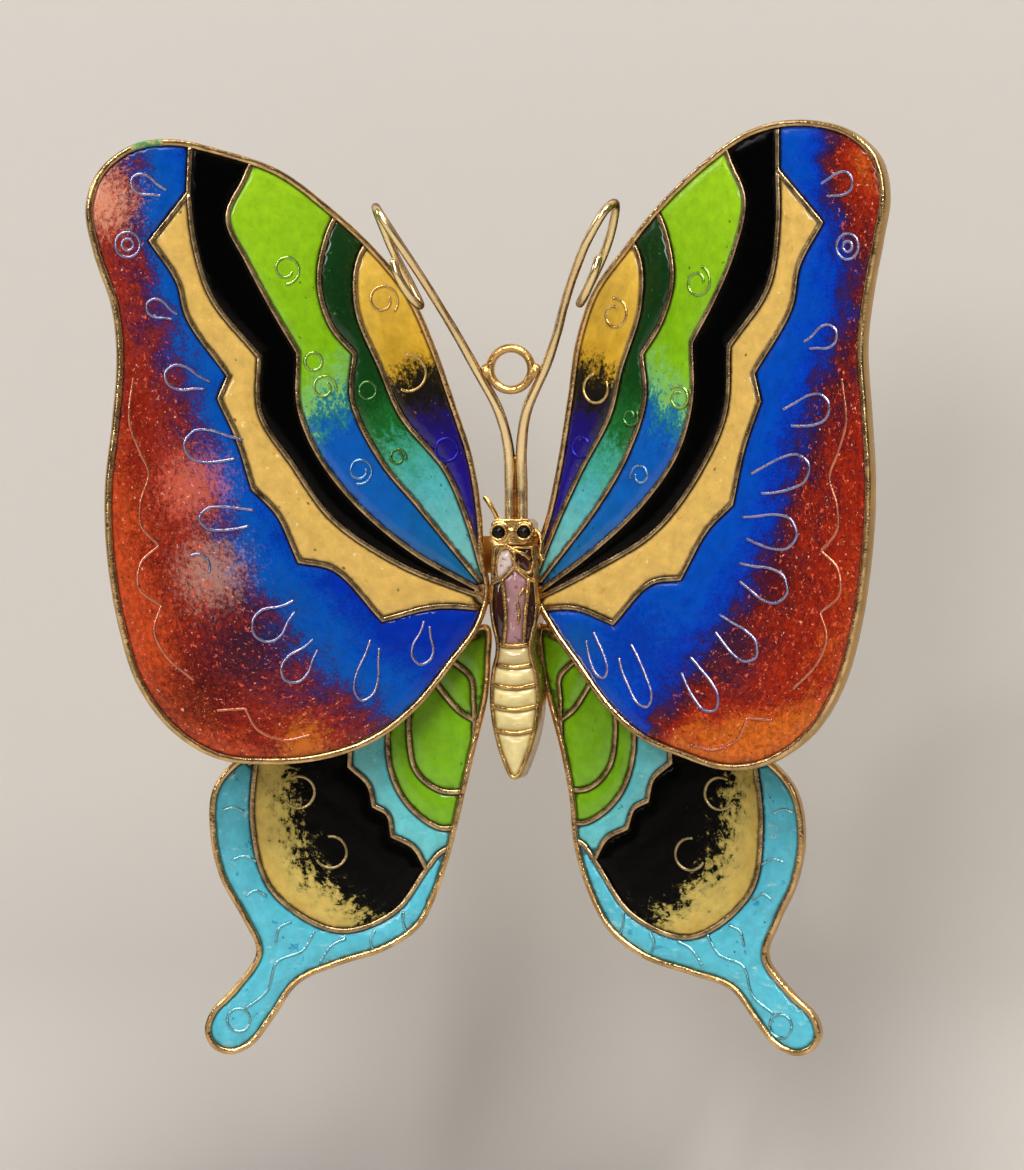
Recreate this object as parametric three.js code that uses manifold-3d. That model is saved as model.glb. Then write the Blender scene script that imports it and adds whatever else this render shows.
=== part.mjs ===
// Butterfly brooch in cloisonne enamel, millimetres.
// +Z runs up the body to the antennae, +X points right when the face is seen, the face looks to -Y.
// The shapes are laid out from a point between the wing roots; the finished group is then moved so
// that its origin lies on the axis of the pin stem, where the garment holds it.
import * as THREE from 'three';
import Module from 'manifold-3d';
import { mergeVertices } from 'three/addons/utils/BufferGeometryUtils.js';

const wasm = await Module();
wasm.setup();

// Fits and clearances
const GAP = 0.03;
const FIT = 0.05;
const LONG = 20;

// Wings: a thin metal tray with a raised rim, wires standing on its floor, enamel between the wires
const ROOT_X = 1.5;
const FORE_LIFT = 26;
const HIND_LIFT = 13;
const FORE_FACE_Y = -1.1;
const HIND_FACE_Y = 0.75;
const TRAY_BACK = -1.25;
const TRAY_FLOOR = -0.85;
const RIM_TOP = 0.12;
const RIM_WIDTH = 0.42;
const WIRE_TOP = 0.05;
const WIRE_HALF = 0.17;
const ENAMEL_TOP = 0;
const ROOT_PLUG_RADIUS = 1.5;
const SOLDER_RADIUS = 0.7;

// Body: a shell with sunk cells, a head block above it
const BODY_X = 0.55;
const BODY_FRONT = -2.9;
const BODY_BACK = 0.3;
const CELL_FLOOR = -1.9;
const CELL_FRONT = -2.82;
const BODY_RIM = 0.28;
const BODY_WIRE_HALF = 0.13;
const HEAD_HALF_WIDTH = 1.45;
const HEAD_BOTTOM = 3.96;
const HEAD_TOP = 5.7;
const HEAD_FRONT = -3.2;
const HEAD_BACK = -0.7;
const EYE_OFFSET = 0.88;
const EYE_Z = 4.8;
const EYE_RADIUS = 0.38;
const EYE_SEAT_RADIUS = 0.62;
const EYE_SEAT_HEIGHT = 0.3;
const LEG_RADIUS = 0.19;

// Antennae and the ring soldered between them
const ANTENNA_RADIUS = 0.36;
const RING_Y = -3.05;
const RING_Z = 16;
const RING_CENTRE_RADIUS = 1.44;
const RING_WIRE_RADIUS = 0.31;

// Pin-back finding: bar, hinge bracket, stem and safety catch
const BAR_Z = 3.2;
const BAR_HALF_LENGTH = 14.5;
const BAR_HALF_WIDTH = 1.3;
const BAR_FRONT = 1.2;
const BAR_BACK = 2;
const POST_X = 9.5;
const POST_RADIUS = 0.75;
const STEM_Y = 3.9;
const STEM_RADIUS = 0.5;
const HINGE_X = 12.4;
const KNUCKLE_RADIUS = 1.05;
const KNUCKLE_HALF = 0.85;
const CHEEK_INNER = 0.92;
const CHEEK_OUTER = 1.5;
const CHEEK_RADIUS = 1.3;
const RIVET_RADIUS = 0.42;
const RIVET_HEAD_RADIUS = 0.68;
const RIVET_HEAD_HEIGHT = 0.22;
const BRACKET_FLOOR = 2.6;
const STEM_TIP_X = -15.2;
const STEM_TAPER_X = -12.6;
const CATCH_X = -12.4;
const CATCH_HALF = 1.2;
const CATCH_WINDOW_HALF = 0.42;
const CATCH_OUTER = 1.75;
const CATCH_BORE = 1.2;
const CATCH_SLOT_HALF = 0.76;
const ROTOR_OUTER = 1.14;
const ROTOR_BORE = 0.72;
const ROTOR_SLOT_HALF = 0.62;
const ROTOR_HALF = 1.3;
const LEVER_ANGLE = -60;
const LEVER_LENGTH = 2.9;
const LEVER_HALF = 0.34;

// Outline of the right forewing in its own plane: u outwards, v upwards
const FORE_OUTLINE = [
  [0, 0.6], [0.3, 3.2], [0.9, 6], [1.7, 9.8], [2.8, 14], [3.9, 18], [5.4, 21.3], [7.8, 24.1],
  [11, 27.1], [14.6, 29.7], [18.4, 31.3], [22, 31.9], [25.3, 31.3], [27.6, 29.5], [28.4, 27],
  [27.9, 24], [26.9, 20.4], [26.5, 17], [26.8, 12.6], [27.2, 8], [27, 3.4], [26.2, -1.4],
  [24.9, -5.4], [22.6, -8.6], [19.4, -10.6], [16, -11.1], [12.2, -10.6], [8.6, -9.4],
  [5.6, -7.2], [3, -4.2], [1.2, -2],
];
// Wires of the forewing, each a list of smooth runs that meet in sharp corners
const FORE_WIRES = [
  [
    [[20.6, 32.6], [20.7, 28.4]],
    [[20.7, 28.4], [23.7, 25]],
    [[23.7, 25], [21.9, 22.3], [21.2, 19.6], [18.3, 15.5]],
    [[18.3, 15.5], [18.9, 13.8]],
    [[18.9, 13.8], [17.6, 10.8], [16.6, 7.3]],
    [[16.6, 7.3], [14.7, 5.5], [12.9, 2.3]],
    [[12.9, 2.3], [10.4, 1.8], [7.2, -1.3]],
    [[7.2, -1.3], [3.8, -0.4], [0.6, -0.5]],
  ],
  [
    [[20.7, 28.4], [20.5, 24.9], [19.5, 21], [16.3, 17.1]],
    [[16.3, 17.1], [16.1, 12.9], [13.8, 9], [10.7, 5.3], [6, 2.5], [0.4, 0.2]],
  ],
  [
    [[15.9, 31.4], [16.9, 29.2], [18, 26.7], [16.9, 23.5], [15.1, 20.1], [13.4, 17.4]],
    [[13.4, 17.4], [13.4, 13.7], [12.2, 10.3], [9.4, 6.8], [5.2, 3.4], [0.6, 0.7]],
  ],
  [
    [[9.8, 28], [11.3, 25.2], [11.9, 21.9], [11, 19], [9.4, 17]],
    [[9.4, 17], [9.6, 13.9], [7.9, 10], [5.2, 6.5], [0.6, 1.3]],
  ],
  [[[7.6, 26], [9.2, 23.3], [9.2, 20], [7.6, 16], [6.4, 12.8], [3.6, 9], [1.8, 5.4], [0.4, 1.9]]],
];
const FORE_FIELDS = {
  outer_blue_red: { seed: [24, 5], colour: 0x1c3fb0 },
  cream_band: { seed: [21.2, 23.6], colour: 0xd9b45c },
  black_band: { seed: [18.6, 23], colour: 0x0b0a0a },
  lime_blue_band: { seed: [14, 23], colour: 0x6fae22 },
  dark_green_band: { seed: [10.6, 22], colour: 0x1e5a2a },
  amber_violet_band: { seed: [7.4, 20], colour: 0xc89a3a },
};

// Outline of the right hindwing, its top edge hidden behind the forewing
const HIND_OUTLINE = [
  [0.3, -1.7], [3, -2.6], [6.6, -5.4], [10.5, -8], [14.5, -9.5], [17.6, -10.9], [19.3, -12.9],
  [19.7, -16], [19.1, -19.1], [17.6, -22.1], [16.8, -24.3], [18.4, -26.6], [20.1, -28.3],
  [20.5, -29.7], [19.9, -30.8], [18.7, -31.2], [17.2, -30.6], [15.7, -28.8], [14, -26.6],
  [11.1, -25.5], [7.8, -24.5], [5.3, -22.8], [3.9, -20.3], [2.9, -17.2], [2.3, -13.8],
  [1.5, -10.2], [0.6, -6.8], [0.2, -4.2],
];
const HIND_WIRES = [
  [[[1.6, -9.9], [1.6, -7], [1.7, -5.3], [3.2, -3.9], [4.4, -2.6]]],
  [[[1.6, -8.3], [2.6, -7.6], [3.9, -5.9], [5.3, -3.8]]],
  [[[1.6, -13.2], [3.8, -13.1], [5.4, -11.7], [5.9, -9.4], [5.6, -4]]],
  [[[1.9, -15.4], [3.7, -15.6], [6, -13.9], [7.2, -11.2], [7.2, -5.2]]],
  [
    [[16.1, -9.2], [16.7, -15.3], [15.6, -20], [11.2, -23], [7.1, -21.7], [4.5, -18.3]],
    [[4.5, -18.3], [5.4, -16.8], [6.9, -16]],
    [[6.9, -16], [7.3, -14.6], [8.3, -14]],
    [[8.3, -14], [8.7, -12.5], [10, -11.3]],
    [[10, -11.3], [9.9, -6.6]],
  ],
  [[[4.5, -18.3], [3.6, -17.2], [2.2, -16.7]]],
];
const HIND_FIELDS = {
  root_green: { seed: [1.1, -4], colour: 0x7dbb26 },
  small_green: { seed: [2.6, -6.3], colour: 0x7dbb26 },
  large_green: { seed: [3.6, -10.5], colour: 0x86c22a },
  green_crescent: { seed: [6.2, -11.6], colour: 0x86c22a },
  inner_turquoise: { seed: [7, -14.2], colour: 0x6cbfc6 },
  tail_turquoise: { seed: [18.2, -16], colour: 0x5fb8cc },
  eyespot: { seed: [12, -17], colour: 0x14120d },
};
// Hidden wire along the top edge that ties the others together
const HIND_TIE = [[[1.1, -2.4], [3.2, -3.3], [6.4, -6.05], [10.3, -8.6], [14.3, -10.1], [16.8, -11.2]]];
const SOLDER_SPOT = [13.6, -9.4];

// The two sides were bent by hand and differ a little: [u, v, du, dv] is how far the right wing is
// out of the mean shape near (u, v), and the left wing is out by the same amount the other way.
const NUDGE_REACH = 3.2;
const FORE_NUDGES = [
  [20.7, 28.4, -0.4, 0.5], [23.7, 25, 0.15, 0.3], [18.9, 13.8, -0.1, -0.4], [16.3, 17.1, 0.35, 0.2],
  [16.6, 7.3, 0, -0.75], [12.9, 2.3, -0.6, -0.75], [7.2, -1.3, -0.5, -0.15], [13.4, 17.4, -0.1, 0.3],
  [9.4, 17, 0, -0.25], [8.7, 24, 0.1, -0.1], [26.5, 30.5, 0.8, 0], [28.4, 27, 0.4, -0.2],
  [27, 20.4, 0.7, 0], [26.6, 14, 0.6, 0], [27.2, 7, 0.4, 0], [26.2, -1.4, 0.25, 0],
  [22.6, -8.6, 0.2, -0.1], [17, -11, 0, -0.2], [10, -9.9, 0.4, 0.2], [5.6, -7.2, 0.7, 0],
  [3, -4.2, 0.7, 0], [1.9, 9.8, 0.85, 0], [3, 14, 0.45, 0], [5, 20.5, 0, 0], [12, 27.8, 0, 0],
];
const HIND_NUDGES = [
  [18.6, -12.2, -0.4, 0], [19.7, -16, 0, 0], [16.8, -24.3, 0.1, 0], [20.3, -29.4, 0.3, 0.1],
  [18, -31, 0.2, 0.3], [14.4, -26.9, 0.4, 0], [10.5, -25.4, 0.1, -0.4], [6, -23.3, 0.1, -0.2],
  [3.2, -18.2, 0, 0.2], [2.3, -13.8, 0.25, 0], [1.6, -10.6, 0.35, 0], [4.5, -18.3, -0.55, 0.6],
  [11.2, -23, 0.25, 0], [5.6, -11.5, -0.1, 0.3],
];

// Right half of the body outline, x from the centre line and z; the left half mirrors it
const BODY_HALF = [
  [1.45, 3.9], [1.6, 2.6], [1.66, 1.2], [1.75, -0.2], [1.6, -1.6], [1.32, -2.8], [1.34, -3.6],
  [1.62, -4.7], [1.78, -6.2], [1.7, -7.8], [1.42, -9.3], [0.95, -10.8], [0.25, -12.2],
];
const BODY_WIRES = [
  [[[0.1, 4.4], [0.12, 2.4]]],
  [[[0.12, 2.4], [-0.8, 1.6], [-2, 1.1]]],
  [[[0.12, 2.4], [1.1, 1.6], [2, 1.2]]],
  [[[-0.8, 1.6], [-0.62, 0.2], [-0.55, -1.4], [-0.7, -3]]],
  [[[1.1, 1.6], [0.95, 0.2], [0.8, -1.4], [0.7, -3]]],
  [[[-2, -2.8], [0, -3.05], [2, -2.8]]],
  [[[-2, -4.2], [0, -4.5], [2, -4.2]]],
  [[[-2, -5.6], [0, -5.95], [2, -5.6]]],
  [[[-2, -7.1], [0, -7.45], [2, -7.1]]],
  [[[-2, -8.7], [0, -9.05], [2, -8.7]]],
];
const BODY_CELLS = {
  thorax_cell_upper_left: { seed: [-0.8, 2.9], colour: 0xd8cfc8 },
  thorax_cell_upper_right: { seed: [0.8, 3], colour: 0x2a1412 },
  thorax_cell_mauve: { seed: [0.15, 0], colour: 0xb08a8c },
  thorax_cell_dark_left: { seed: [-1.15, -0.4], colour: 0x1c0f0e },
  thorax_cell_dark_right: { seed: [1.2, -0.4], colour: 0x3a1813 },
  neck_lens: { seed: [0, -3.7], colour: 0xd8c9a4 },
  abdomen_band_1: { seed: [0, -5.2], colour: 0xe6dab2 },
  abdomen_band_2: { seed: [0, -6.7], colour: 0xe6dab2 },
  abdomen_band_3: { seed: [0, -8.2], colour: 0xe6dab2 },
  abdomen_tip: { seed: [0, -9.9], colour: 0xe3d6a8 },
};

// Wire of the right antenna: [sideways from the centre line, y, z], ending in a hanging coil
const ANTENNA_PATH = [
  [0.42, -1.3, 5.76], [0.42, -1.3, 8], [0.46, -1.6, 10.6], [1, -2.4, 13.2], [2.5, -3.2, 16.2],
  [3.5, -4.6, 18.4], [4.2, -6.2, 20], [5.15, -8, 22], [6.5, -9.8, 24.5], [7.7, -10, 26.4],
  [8.2, -8.9, 26.9], [7.9, -7.8, 25.6], [7.2, -7.2, 23.7], [6.1, -6.9, 21.5], [5.5, -7.2, 20.3],
  [5.9, -8, 20.7], [6.7, -8.8, 22.2], [7.1, -8.7, 23.5],
];

// ---- helpers ----
const degrees = (angle) => (angle * Math.PI) / 180;

function solid(geometry) {
  geometry.deleteAttribute('normal');
  geometry.deleteAttribute('uv');
  const merged = mergeVertices(geometry, 1e-4);
  const mesh = new wasm.Mesh({
    numProp: 3,
    vertProperties: new Float32Array(merged.attributes.position.array),
    triVerts: new Uint32Array(merged.index.array),
  });
  return new wasm.Manifold(mesh);
}

function surface(body) {
  const mesh = body.getMesh();
  const geometry = new THREE.BufferGeometry();
  geometry.setAttribute('position', new THREE.BufferAttribute(mesh.vertProperties, mesh.numProp));
  geometry.setIndex(new THREE.BufferAttribute(mesh.triVerts, 1));
  geometry.computeVertexNormals();
  return geometry;
}

// Smooth curve through points, a fixed number of steps between neighbours
function smooth(points, steps, closed = false) {
  const curve = new THREE.CatmullRomCurve3(
    points.map(([u, v]) => new THREE.Vector3(u, v, 0)), closed, 'centripetal');
  const spans = closed ? points.length : points.length - 1;
  const sampled = curve.getPoints(spans * steps).map((p) => new THREE.Vector2(p.x, p.y));
  if (closed) sampled.pop();
  return sampled;
}

// A point moved by the nudges round it; side is 1 for the right wing and -1 for the left
function nudge([u, v], nudges, side) {
  let total = 0.15;
  let du = 0;
  let dv = 0;
  for (const [nu, nv, a, b] of nudges) {
    const weight = Math.exp(-((u - nu) ** 2 + (v - nv) ** 2) / NUDGE_REACH ** 2);
    total += weight;
    du += weight * a;
    dv += weight * b;
  }
  return [u + (side * du) / total, v + (side * dv) / total];
}

// Shift a line sideways along its mitred normals; positive goes to its left
function sidestep(points, distance, closed) {
  const count = points.length;
  return points.map((point, i) => {
    const before = closed ? points[(i + count - 1) % count] : points[Math.max(i - 1, 0)];
    const after = closed ? points[(i + 1) % count] : points[Math.min(i + 1, count - 1)];
    const into = point.clone().sub(i > 0 || closed ? before : point).normalize();
    const out = after.clone().sub(i < count - 1 || closed ? point : after).normalize();
    const ahead = into.clone().add(out).normalize();
    const side = new THREE.Vector2(-ahead.y, ahead.x);
    const reference = out.lengthSq() > 0 ? out : into;
    const stretch = Math.max(0.55, Math.abs(side.x * -reference.y + side.y * reference.x));
    return point.clone().addScaledVector(side, distance / stretch);
  });
}

function prism(points, low, high) {
  const geometry = new THREE.ExtrudeGeometry(new THREE.Shape(points), {
    depth: high - low, bevelEnabled: false, steps: 1,
  });
  geometry.translate(0, 0, low);
  return solid(geometry);
}

// A wire of given half width standing from low to high along its runs
function strip(runs, half, low, high, steps) {
  const line = [];
  for (const run of runs) {
    const part = run.length > 2 ? smooth(run, steps) : run.map(([u, v]) => new THREE.Vector2(u, v));
    line.push(...(line.length ? part.slice(1) : part));
  }
  const left = sidestep(line, half, false);
  const right = sidestep(line, -half, false).reverse();
  return prism([...left, ...right], low, high);
}

function union(bodies) {
  return bodies.reduce((sum, body) => sum.add(body));
}

function box(x0, x1, y0, y1, z0, z1) {
  const geometry = new THREE.BoxGeometry(x1 - x0, y1 - y0, z1 - z0);
  geometry.translate((x0 + x1) / 2, (y0 + y1) / 2, (z0 + z1) / 2);
  return solid(geometry);
}

// Round bar from low to high along one axis ('x', 'y' or 'z') through the point (a, b) of the others
function bar(axis, low, high, a, b, radius, sides) {
  const geometry = new THREE.CylinderGeometry(radius, radius, high - low, sides);
  if (axis === 'x') {
    geometry.rotateZ(Math.PI / 2);
    geometry.translate((low + high) / 2, a, b);
  } else if (axis === 'y') {
    geometry.translate(a, (low + high) / 2, b);
  } else {
    geometry.rotateX(Math.PI / 2);
    geometry.translate(a, b, (low + high) / 2);
  }
  return solid(geometry);
}

function tube(points, radius, sides, steps) {
  const path = new THREE.CatmullRomCurve3(points.map((p) => new THREE.Vector3(...p)), false, 'centripetal');
  const ring = new THREE.Shape();
  ring.absarc(0, 0, radius, 0, 2 * Math.PI, false);
  return solid(new THREE.ExtrudeGeometry(ring, { steps, curveSegments: sides, extrudePath: path }));
}

function contains(body, seed, low, high) {
  const probe = new THREE.CylinderGeometry(0.08, 0.08, high - low, 6);
  probe.rotateX(Math.PI / 2);
  probe.translate(seed[0], seed[1], (low + high) / 2);
  return body.intersect(solid(probe)).volume() > 1e-4;
}

const brooch = new THREE.Group();
brooch.name = 'butterfly_brooch';

function place(name, body, colour, roughness, metalness) {
  const material = new THREE.MeshStandardMaterial({ color: colour, roughness, metalness });
  const geometry = surface(body);
  geometry.translate(0, -STEM_Y, -BAR_Z);
  const mesh = new THREE.Mesh(geometry, material);
  mesh.name = name;
  brooch.add(mesh);
}
const gold = (name, body) => place(name, body, 0xd6a85a, 0.28, 1);
const enamel = (name, body, colour) => place(name, body, colour, 0.15, 0);

// ---- body outline, used by the wings that fit round it ----
const bodyPoints = smooth([
  ...BODY_HALF,
  ...BODY_HALF.slice().reverse().map(([x, z]) => [-x, z]),
], 1, false);

// The body is drawn in (x, z); this turns it to stand upright with its depth along -Y
const stand = (body) => body.transform([1, 0, 0, 0, 0, 0, 1, 0, 0, -1, 0, 0, BODY_X, 0, 0, 1]);
const bodyRoom = stand(prism(sidestep(bodyPoints, 0.1, true), -3, 3.4));

// ---- wings ----
function wingFrame(side, lift, faceY) {
  const c = Math.cos(degrees(lift));
  const s = Math.sin(degrees(lift));
  return [side * c, -s, 0, 0, 0, 0, 1, 0, side * -s, -c, 0, 0, side * ROOT_X, faceY, 0, 1];
}

function buildWing(side, label, part) {
  const { fields, lift, faceY, plug, room } = part;
  const frame = wingFrame(side, lift, faceY);
  const set = (body) => body.transform(frame);
  const bend = (points) => points.map((point) => nudge(point, part.nudges, side));
  const outer = smooth(bend(part.outline), 2, true);
  const wires = part.wires.map((runs) => runs.map(bend));
  const ties = part.ties.map((runs) => runs.map(bend));
  const inner = sidestep(outer, -RIM_WIDTH, true);
  const cup = prism(inner, TRAY_FLOOR, 1);
  let tray = set(prism(outer, TRAY_BACK, RIM_TOP).subtract(cup));
  if (part.solder) tray = tray.add(part.solder(side).subtract(set(cup)));
  gold(`${label}_tray`, tray.subtract(room));

  const net = union([
    ...[...wires, ...ties].map((runs) => strip(runs, WIRE_HALF, TRAY_FLOOR + GAP, WIRE_TOP, 3)),
    ...plug.map(([u, v, r]) => bar('z', TRAY_FLOOR + GAP, WIRE_TOP, u, v, r, 20)),
  ]);
  const pocket = prism(sidestep(outer, -RIM_WIDTH - GAP, true), TRAY_FLOOR + GAP, WIRE_TOP);
  gold(`${label}_wires`, set(net.intersect(pocket)).subtract(room));

  const cutters = union([
    ...[...wires, ...ties].map((runs) => strip(runs, WIRE_HALF + GAP, -3, 3, 3)),
    ...plug.map(([u, v, r]) => bar('z', -3, 3, u, v, r + GAP, 20)),
  ]);
  const glass = prism(sidestep(outer, -RIM_WIDTH - GAP, true), TRAY_FLOOR + GAP, ENAMEL_TOP);
  const pieces = glass.subtract(cutters).decompose();
  for (const [name, field] of Object.entries(fields)) {
    const piece = pieces.find((p) => contains(p, field.seed, TRAY_FLOOR, ENAMEL_TOP));
    enamel(`${label}_${name}`, set(piece).subtract(room), field.colour);
  }
}

// Everything in front of a forewing's back, with a gap: what stands behind the wing is cut to it
function foreRoom(side, gap) {
  const outline = FORE_OUTLINE.map((point) => nudge(point, FORE_NUDGES, side));
  return prism(smooth(outline, 2, true), TRAY_BACK - gap, LONG)
    .transform(wingFrame(side, FORE_LIFT, FORE_FACE_Y));
}

// Solder post standing on the hindwing and reaching to the back of the forewing
function wingSolder(side) {
  const post = bar('z', TRAY_BACK + 0.1, 6, SOLDER_SPOT[0], SOLDER_SPOT[1], SOLDER_RADIUS, 16)
    .transform(wingFrame(side, HIND_LIFT, HIND_FACE_Y));
  return post.subtract(foreRoom(side, GAP));
}

const foreWing = {
  outline: FORE_OUTLINE, wires: FORE_WIRES, fields: FORE_FIELDS, nudges: FORE_NUDGES,
  lift: FORE_LIFT, faceY: FORE_FACE_Y, plug: [[0.3, 0.5, ROOT_PLUG_RADIUS]], ties: [],
  room: bodyRoom,
};
const hindWing = {
  outline: HIND_OUTLINE, wires: HIND_WIRES, fields: HIND_FIELDS, nudges: HIND_NUDGES,
  lift: HIND_LIFT, faceY: HIND_FACE_Y, plug: [], ties: [HIND_TIE], room: bodyRoom,
  solder: wingSolder,
};
for (const [side, hand] of [[-1, 'left'], [1, 'right']]) {
  buildWing(side, `${hand}_forewing`, foreWing);
  buildWing(side, `${hand}_hindwing`, hindWing);
}

// ---- body shell with its sunk cells ----
const bodyRim = (extra) => sidestep(bodyPoints, -BODY_RIM - extra, true);
const bodyWires = (half) => union(
  BODY_WIRES.map((runs) => strip(runs, half, -CELL_FLOOR - 1, 6, 3)));
const pockets = prism(bodyRim(0), -CELL_FLOOR, 6).subtract(bodyWires(BODY_WIRE_HALF));
gold('body_shell', stand(prism(bodyPoints, -BODY_BACK, -BODY_FRONT).subtract(pockets)));
const cells = prism(bodyRim(GAP), -CELL_FLOOR + GAP, -CELL_FRONT)
  .subtract(bodyWires(BODY_WIRE_HALF + GAP)).decompose();
for (const [name, cell] of Object.entries(BODY_CELLS)) {
  const piece = cells.find((p) => contains(p, cell.seed, -CELL_FLOOR, -CELL_FRONT));
  enamel(name, stand(piece), cell.colour);
}

// ---- head with two eye seats and the fore legs ----
const headShape = new THREE.Shape([
  [-0.95, HEAD_BOTTOM], [0.95, HEAD_BOTTOM], [HEAD_HALF_WIDTH, 4.5], [HEAD_HALF_WIDTH, 5.4],
  [1.15, HEAD_TOP], [-1.15, HEAD_TOP], [-HEAD_HALF_WIDTH, 5.4], [-HEAD_HALF_WIDTH, 4.5],
].map(([x, z]) => new THREE.Vector2(x, z)));
const headGeometry = new THREE.ExtrudeGeometry(headShape, {
  depth: HEAD_BACK - HEAD_FRONT, bevelEnabled: false, steps: 1,
});
headGeometry.translate(0, 0, -HEAD_BACK);
let head = stand(solid(headGeometry));
for (const side of [-1, 1]) {
  const x = BODY_X + side * EYE_OFFSET;
  const front = HEAD_FRONT - EYE_SEAT_HEIGHT;
  head = head.add(bar('y', front, HEAD_FRONT + 0.4, x, EYE_Z, EYE_SEAT_RADIUS, 20));
  head = head.subtract(bar('y', front - 1, HEAD_FRONT + 0.1, x, EYE_Z, EYE_RADIUS + FIT, 20));
}
const upperLeg = [[-1, -2.1, 5.3], [-1.25, -2.3, 6], [-1.7, -2.35, 6.8], [-2.05, -2.2, 7.25]];
const lowerLeg = [[1.3, -2.3, 5], [1.72, -2.5, 4.75], [1.98, -2.7, 4], [1.9, -2.75, 3.3], [2.15, -2.8, 2.8]];
for (const path of [upperLeg, lowerLeg]) {
  head = head.add(tube(path.map(([x, y, z]) => [BODY_X + x, y, z]), LEG_RADIUS, 6, 10));
}
gold('head', head);
for (const [side, hand] of [[-1, 'left'], [1, 'right']]) {
  const eye = new THREE.SphereGeometry(EYE_RADIUS, 14, 10);
  eye.rotateX(Math.PI / 2);
  eye.scale(1, 0.8, 1);
  eye.translate(BODY_X + side * EYE_OFFSET, HEAD_FRONT - 0.22, EYE_Z);
  enamel(`${hand}_eye`, solid(eye), 0x070606);
}

// ---- antennae and the hanging ring between them ----
for (const [side, hand] of [[-1, 'left'], [1, 'right']]) {
  const path = ANTENNA_PATH.map(([x, y, z]) => [BODY_X + side * x, y, z]);
  gold(`${hand}_antenna`, tube(path, ANTENNA_RADIUS, 4, 52));
}
const ringProfile = [];
const RING_SIDES = 10;
for (let i = 0; i <= RING_SIDES; i += 1) {
  const turn = (2 * Math.PI * i) / RING_SIDES;
  ringProfile.push(new THREE.Vector2(
    RING_CENTRE_RADIUS + RING_WIRE_RADIUS * Math.cos(turn), RING_WIRE_RADIUS * Math.sin(turn)));
}
const ringGeometry = new THREE.LatheGeometry(ringProfile, 32);
ringGeometry.translate(BODY_X, RING_Y, RING_Z);
let ring = solid(ringGeometry);
for (const side of [-1, 1]) {
  const lobe = new THREE.SphereGeometry(0.42, 12, 8);
  lobe.scale(1.1, 0.75, 1.3);
  lobe.translate(BODY_X + side * 1.72, RING_Y, RING_Z - 0.15);
  ring = ring.add(solid(lobe));
}
const wireRoom = (side) => tube(
  ANTENNA_PATH.slice(2, 7).map(([x, y, z]) => [BODY_X + side * x, y, z]), ANTENNA_RADIUS + FIT, 4, 12);
gold('pendant_ring', ring.subtract(wireRoom(-1)).subtract(wireRoom(1)));

// ---- pin-back finding ----
gold('brooch_bar', box(
  -BAR_HALF_LENGTH, BAR_HALF_LENGTH, BAR_FRONT, BAR_BACK, BAR_Z - BAR_HALF_WIDTH, BAR_Z + BAR_HALF_WIDTH));
for (const [side, hand] of [[-1, 'left'], [1, 'right']]) {
  const post = bar('y', -9, BAR_FRONT - GAP, side * POST_X, BAR_Z, POST_RADIUS, 18);
  gold(`${hand}_bar_post`, post.subtract(foreRoom(side, GAP)));
}
gold('centre_bar_post', box(
  BODY_X - 0.8, BODY_X + 0.8, BODY_BACK + GAP, BAR_FRONT - GAP, BAR_Z - 0.8, BAR_Z + 0.5));

// Hinge bracket: two round-ended cheeks on a base plate, pierced for the rivet
function cheek(low, high) {
  return bar('z', low, high, HINGE_X, STEM_Y, CHEEK_RADIUS, 24)
    .add(box(HINGE_X - CHEEK_RADIUS, HINGE_X + CHEEK_RADIUS, BAR_BACK + GAP, STEM_Y, low, high));
}
const plate = box(
  HINGE_X - CHEEK_RADIUS, HINGE_X + CHEEK_RADIUS, BAR_BACK + GAP, BRACKET_FLOOR,
  BAR_Z - CHEEK_OUTER, BAR_Z + CHEEK_OUTER);
const rivetHole = bar('z', 0, 9, HINGE_X, STEM_Y, RIVET_RADIUS + 0.02, 24);
gold('hinge_bracket', plate
  .add(cheek(BAR_Z - CHEEK_OUTER, BAR_Z - CHEEK_INNER))
  .add(cheek(BAR_Z + CHEEK_INNER, BAR_Z + CHEEK_OUTER))
  .subtract(rivetHole));
const rivetEnd = CHEEK_OUTER + 0.02 + RIVET_HEAD_HEIGHT;
gold('hinge_rivet', bar('z', BAR_Z - rivetEnd, BAR_Z + rivetEnd, HINGE_X, STEM_Y, RIVET_RADIUS, 24)
  .add(bar('z', BAR_Z - rivetEnd, BAR_Z - rivetEnd + RIVET_HEAD_HEIGHT, HINGE_X, STEM_Y, RIVET_HEAD_RADIUS, 20))
  .add(bar('z', BAR_Z + rivetEnd - RIVET_HEAD_HEIGHT, BAR_Z + rivetEnd, HINGE_X, STEM_Y, RIVET_HEAD_RADIUS, 20)));

// Stem: flat knuckle on the rivet, round wire drawn out to a point at the catch end
const stemProfile = [
  [0, HINGE_X], [0.5, HINGE_X], [STEM_RADIUS, 0], [STEM_RADIUS, STEM_TAPER_X + 1.4],
  [0.42, STEM_TAPER_X], [0.24, -14.3], [0.08, STEM_TIP_X + 0.1], [0, STEM_TIP_X],
].reverse().map(([r, x]) => new THREE.Vector2(r, x));
const stemGeometry = new THREE.LatheGeometry(stemProfile, 14);
stemGeometry.rotateZ(-Math.PI / 2);
stemGeometry.translate(0, STEM_Y, BAR_Z);
gold('pin_stem', solid(stemGeometry)
  .add(bar('z', BAR_Z - KNUCKLE_HALF, BAR_Z + KNUCKLE_HALF, HINGE_X, STEM_Y, KNUCKLE_RADIUS, 24))
  .subtract(bar('z', 0, 9, HINGE_X, STEM_Y, RIVET_RADIUS + FIT, 24)));

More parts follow.
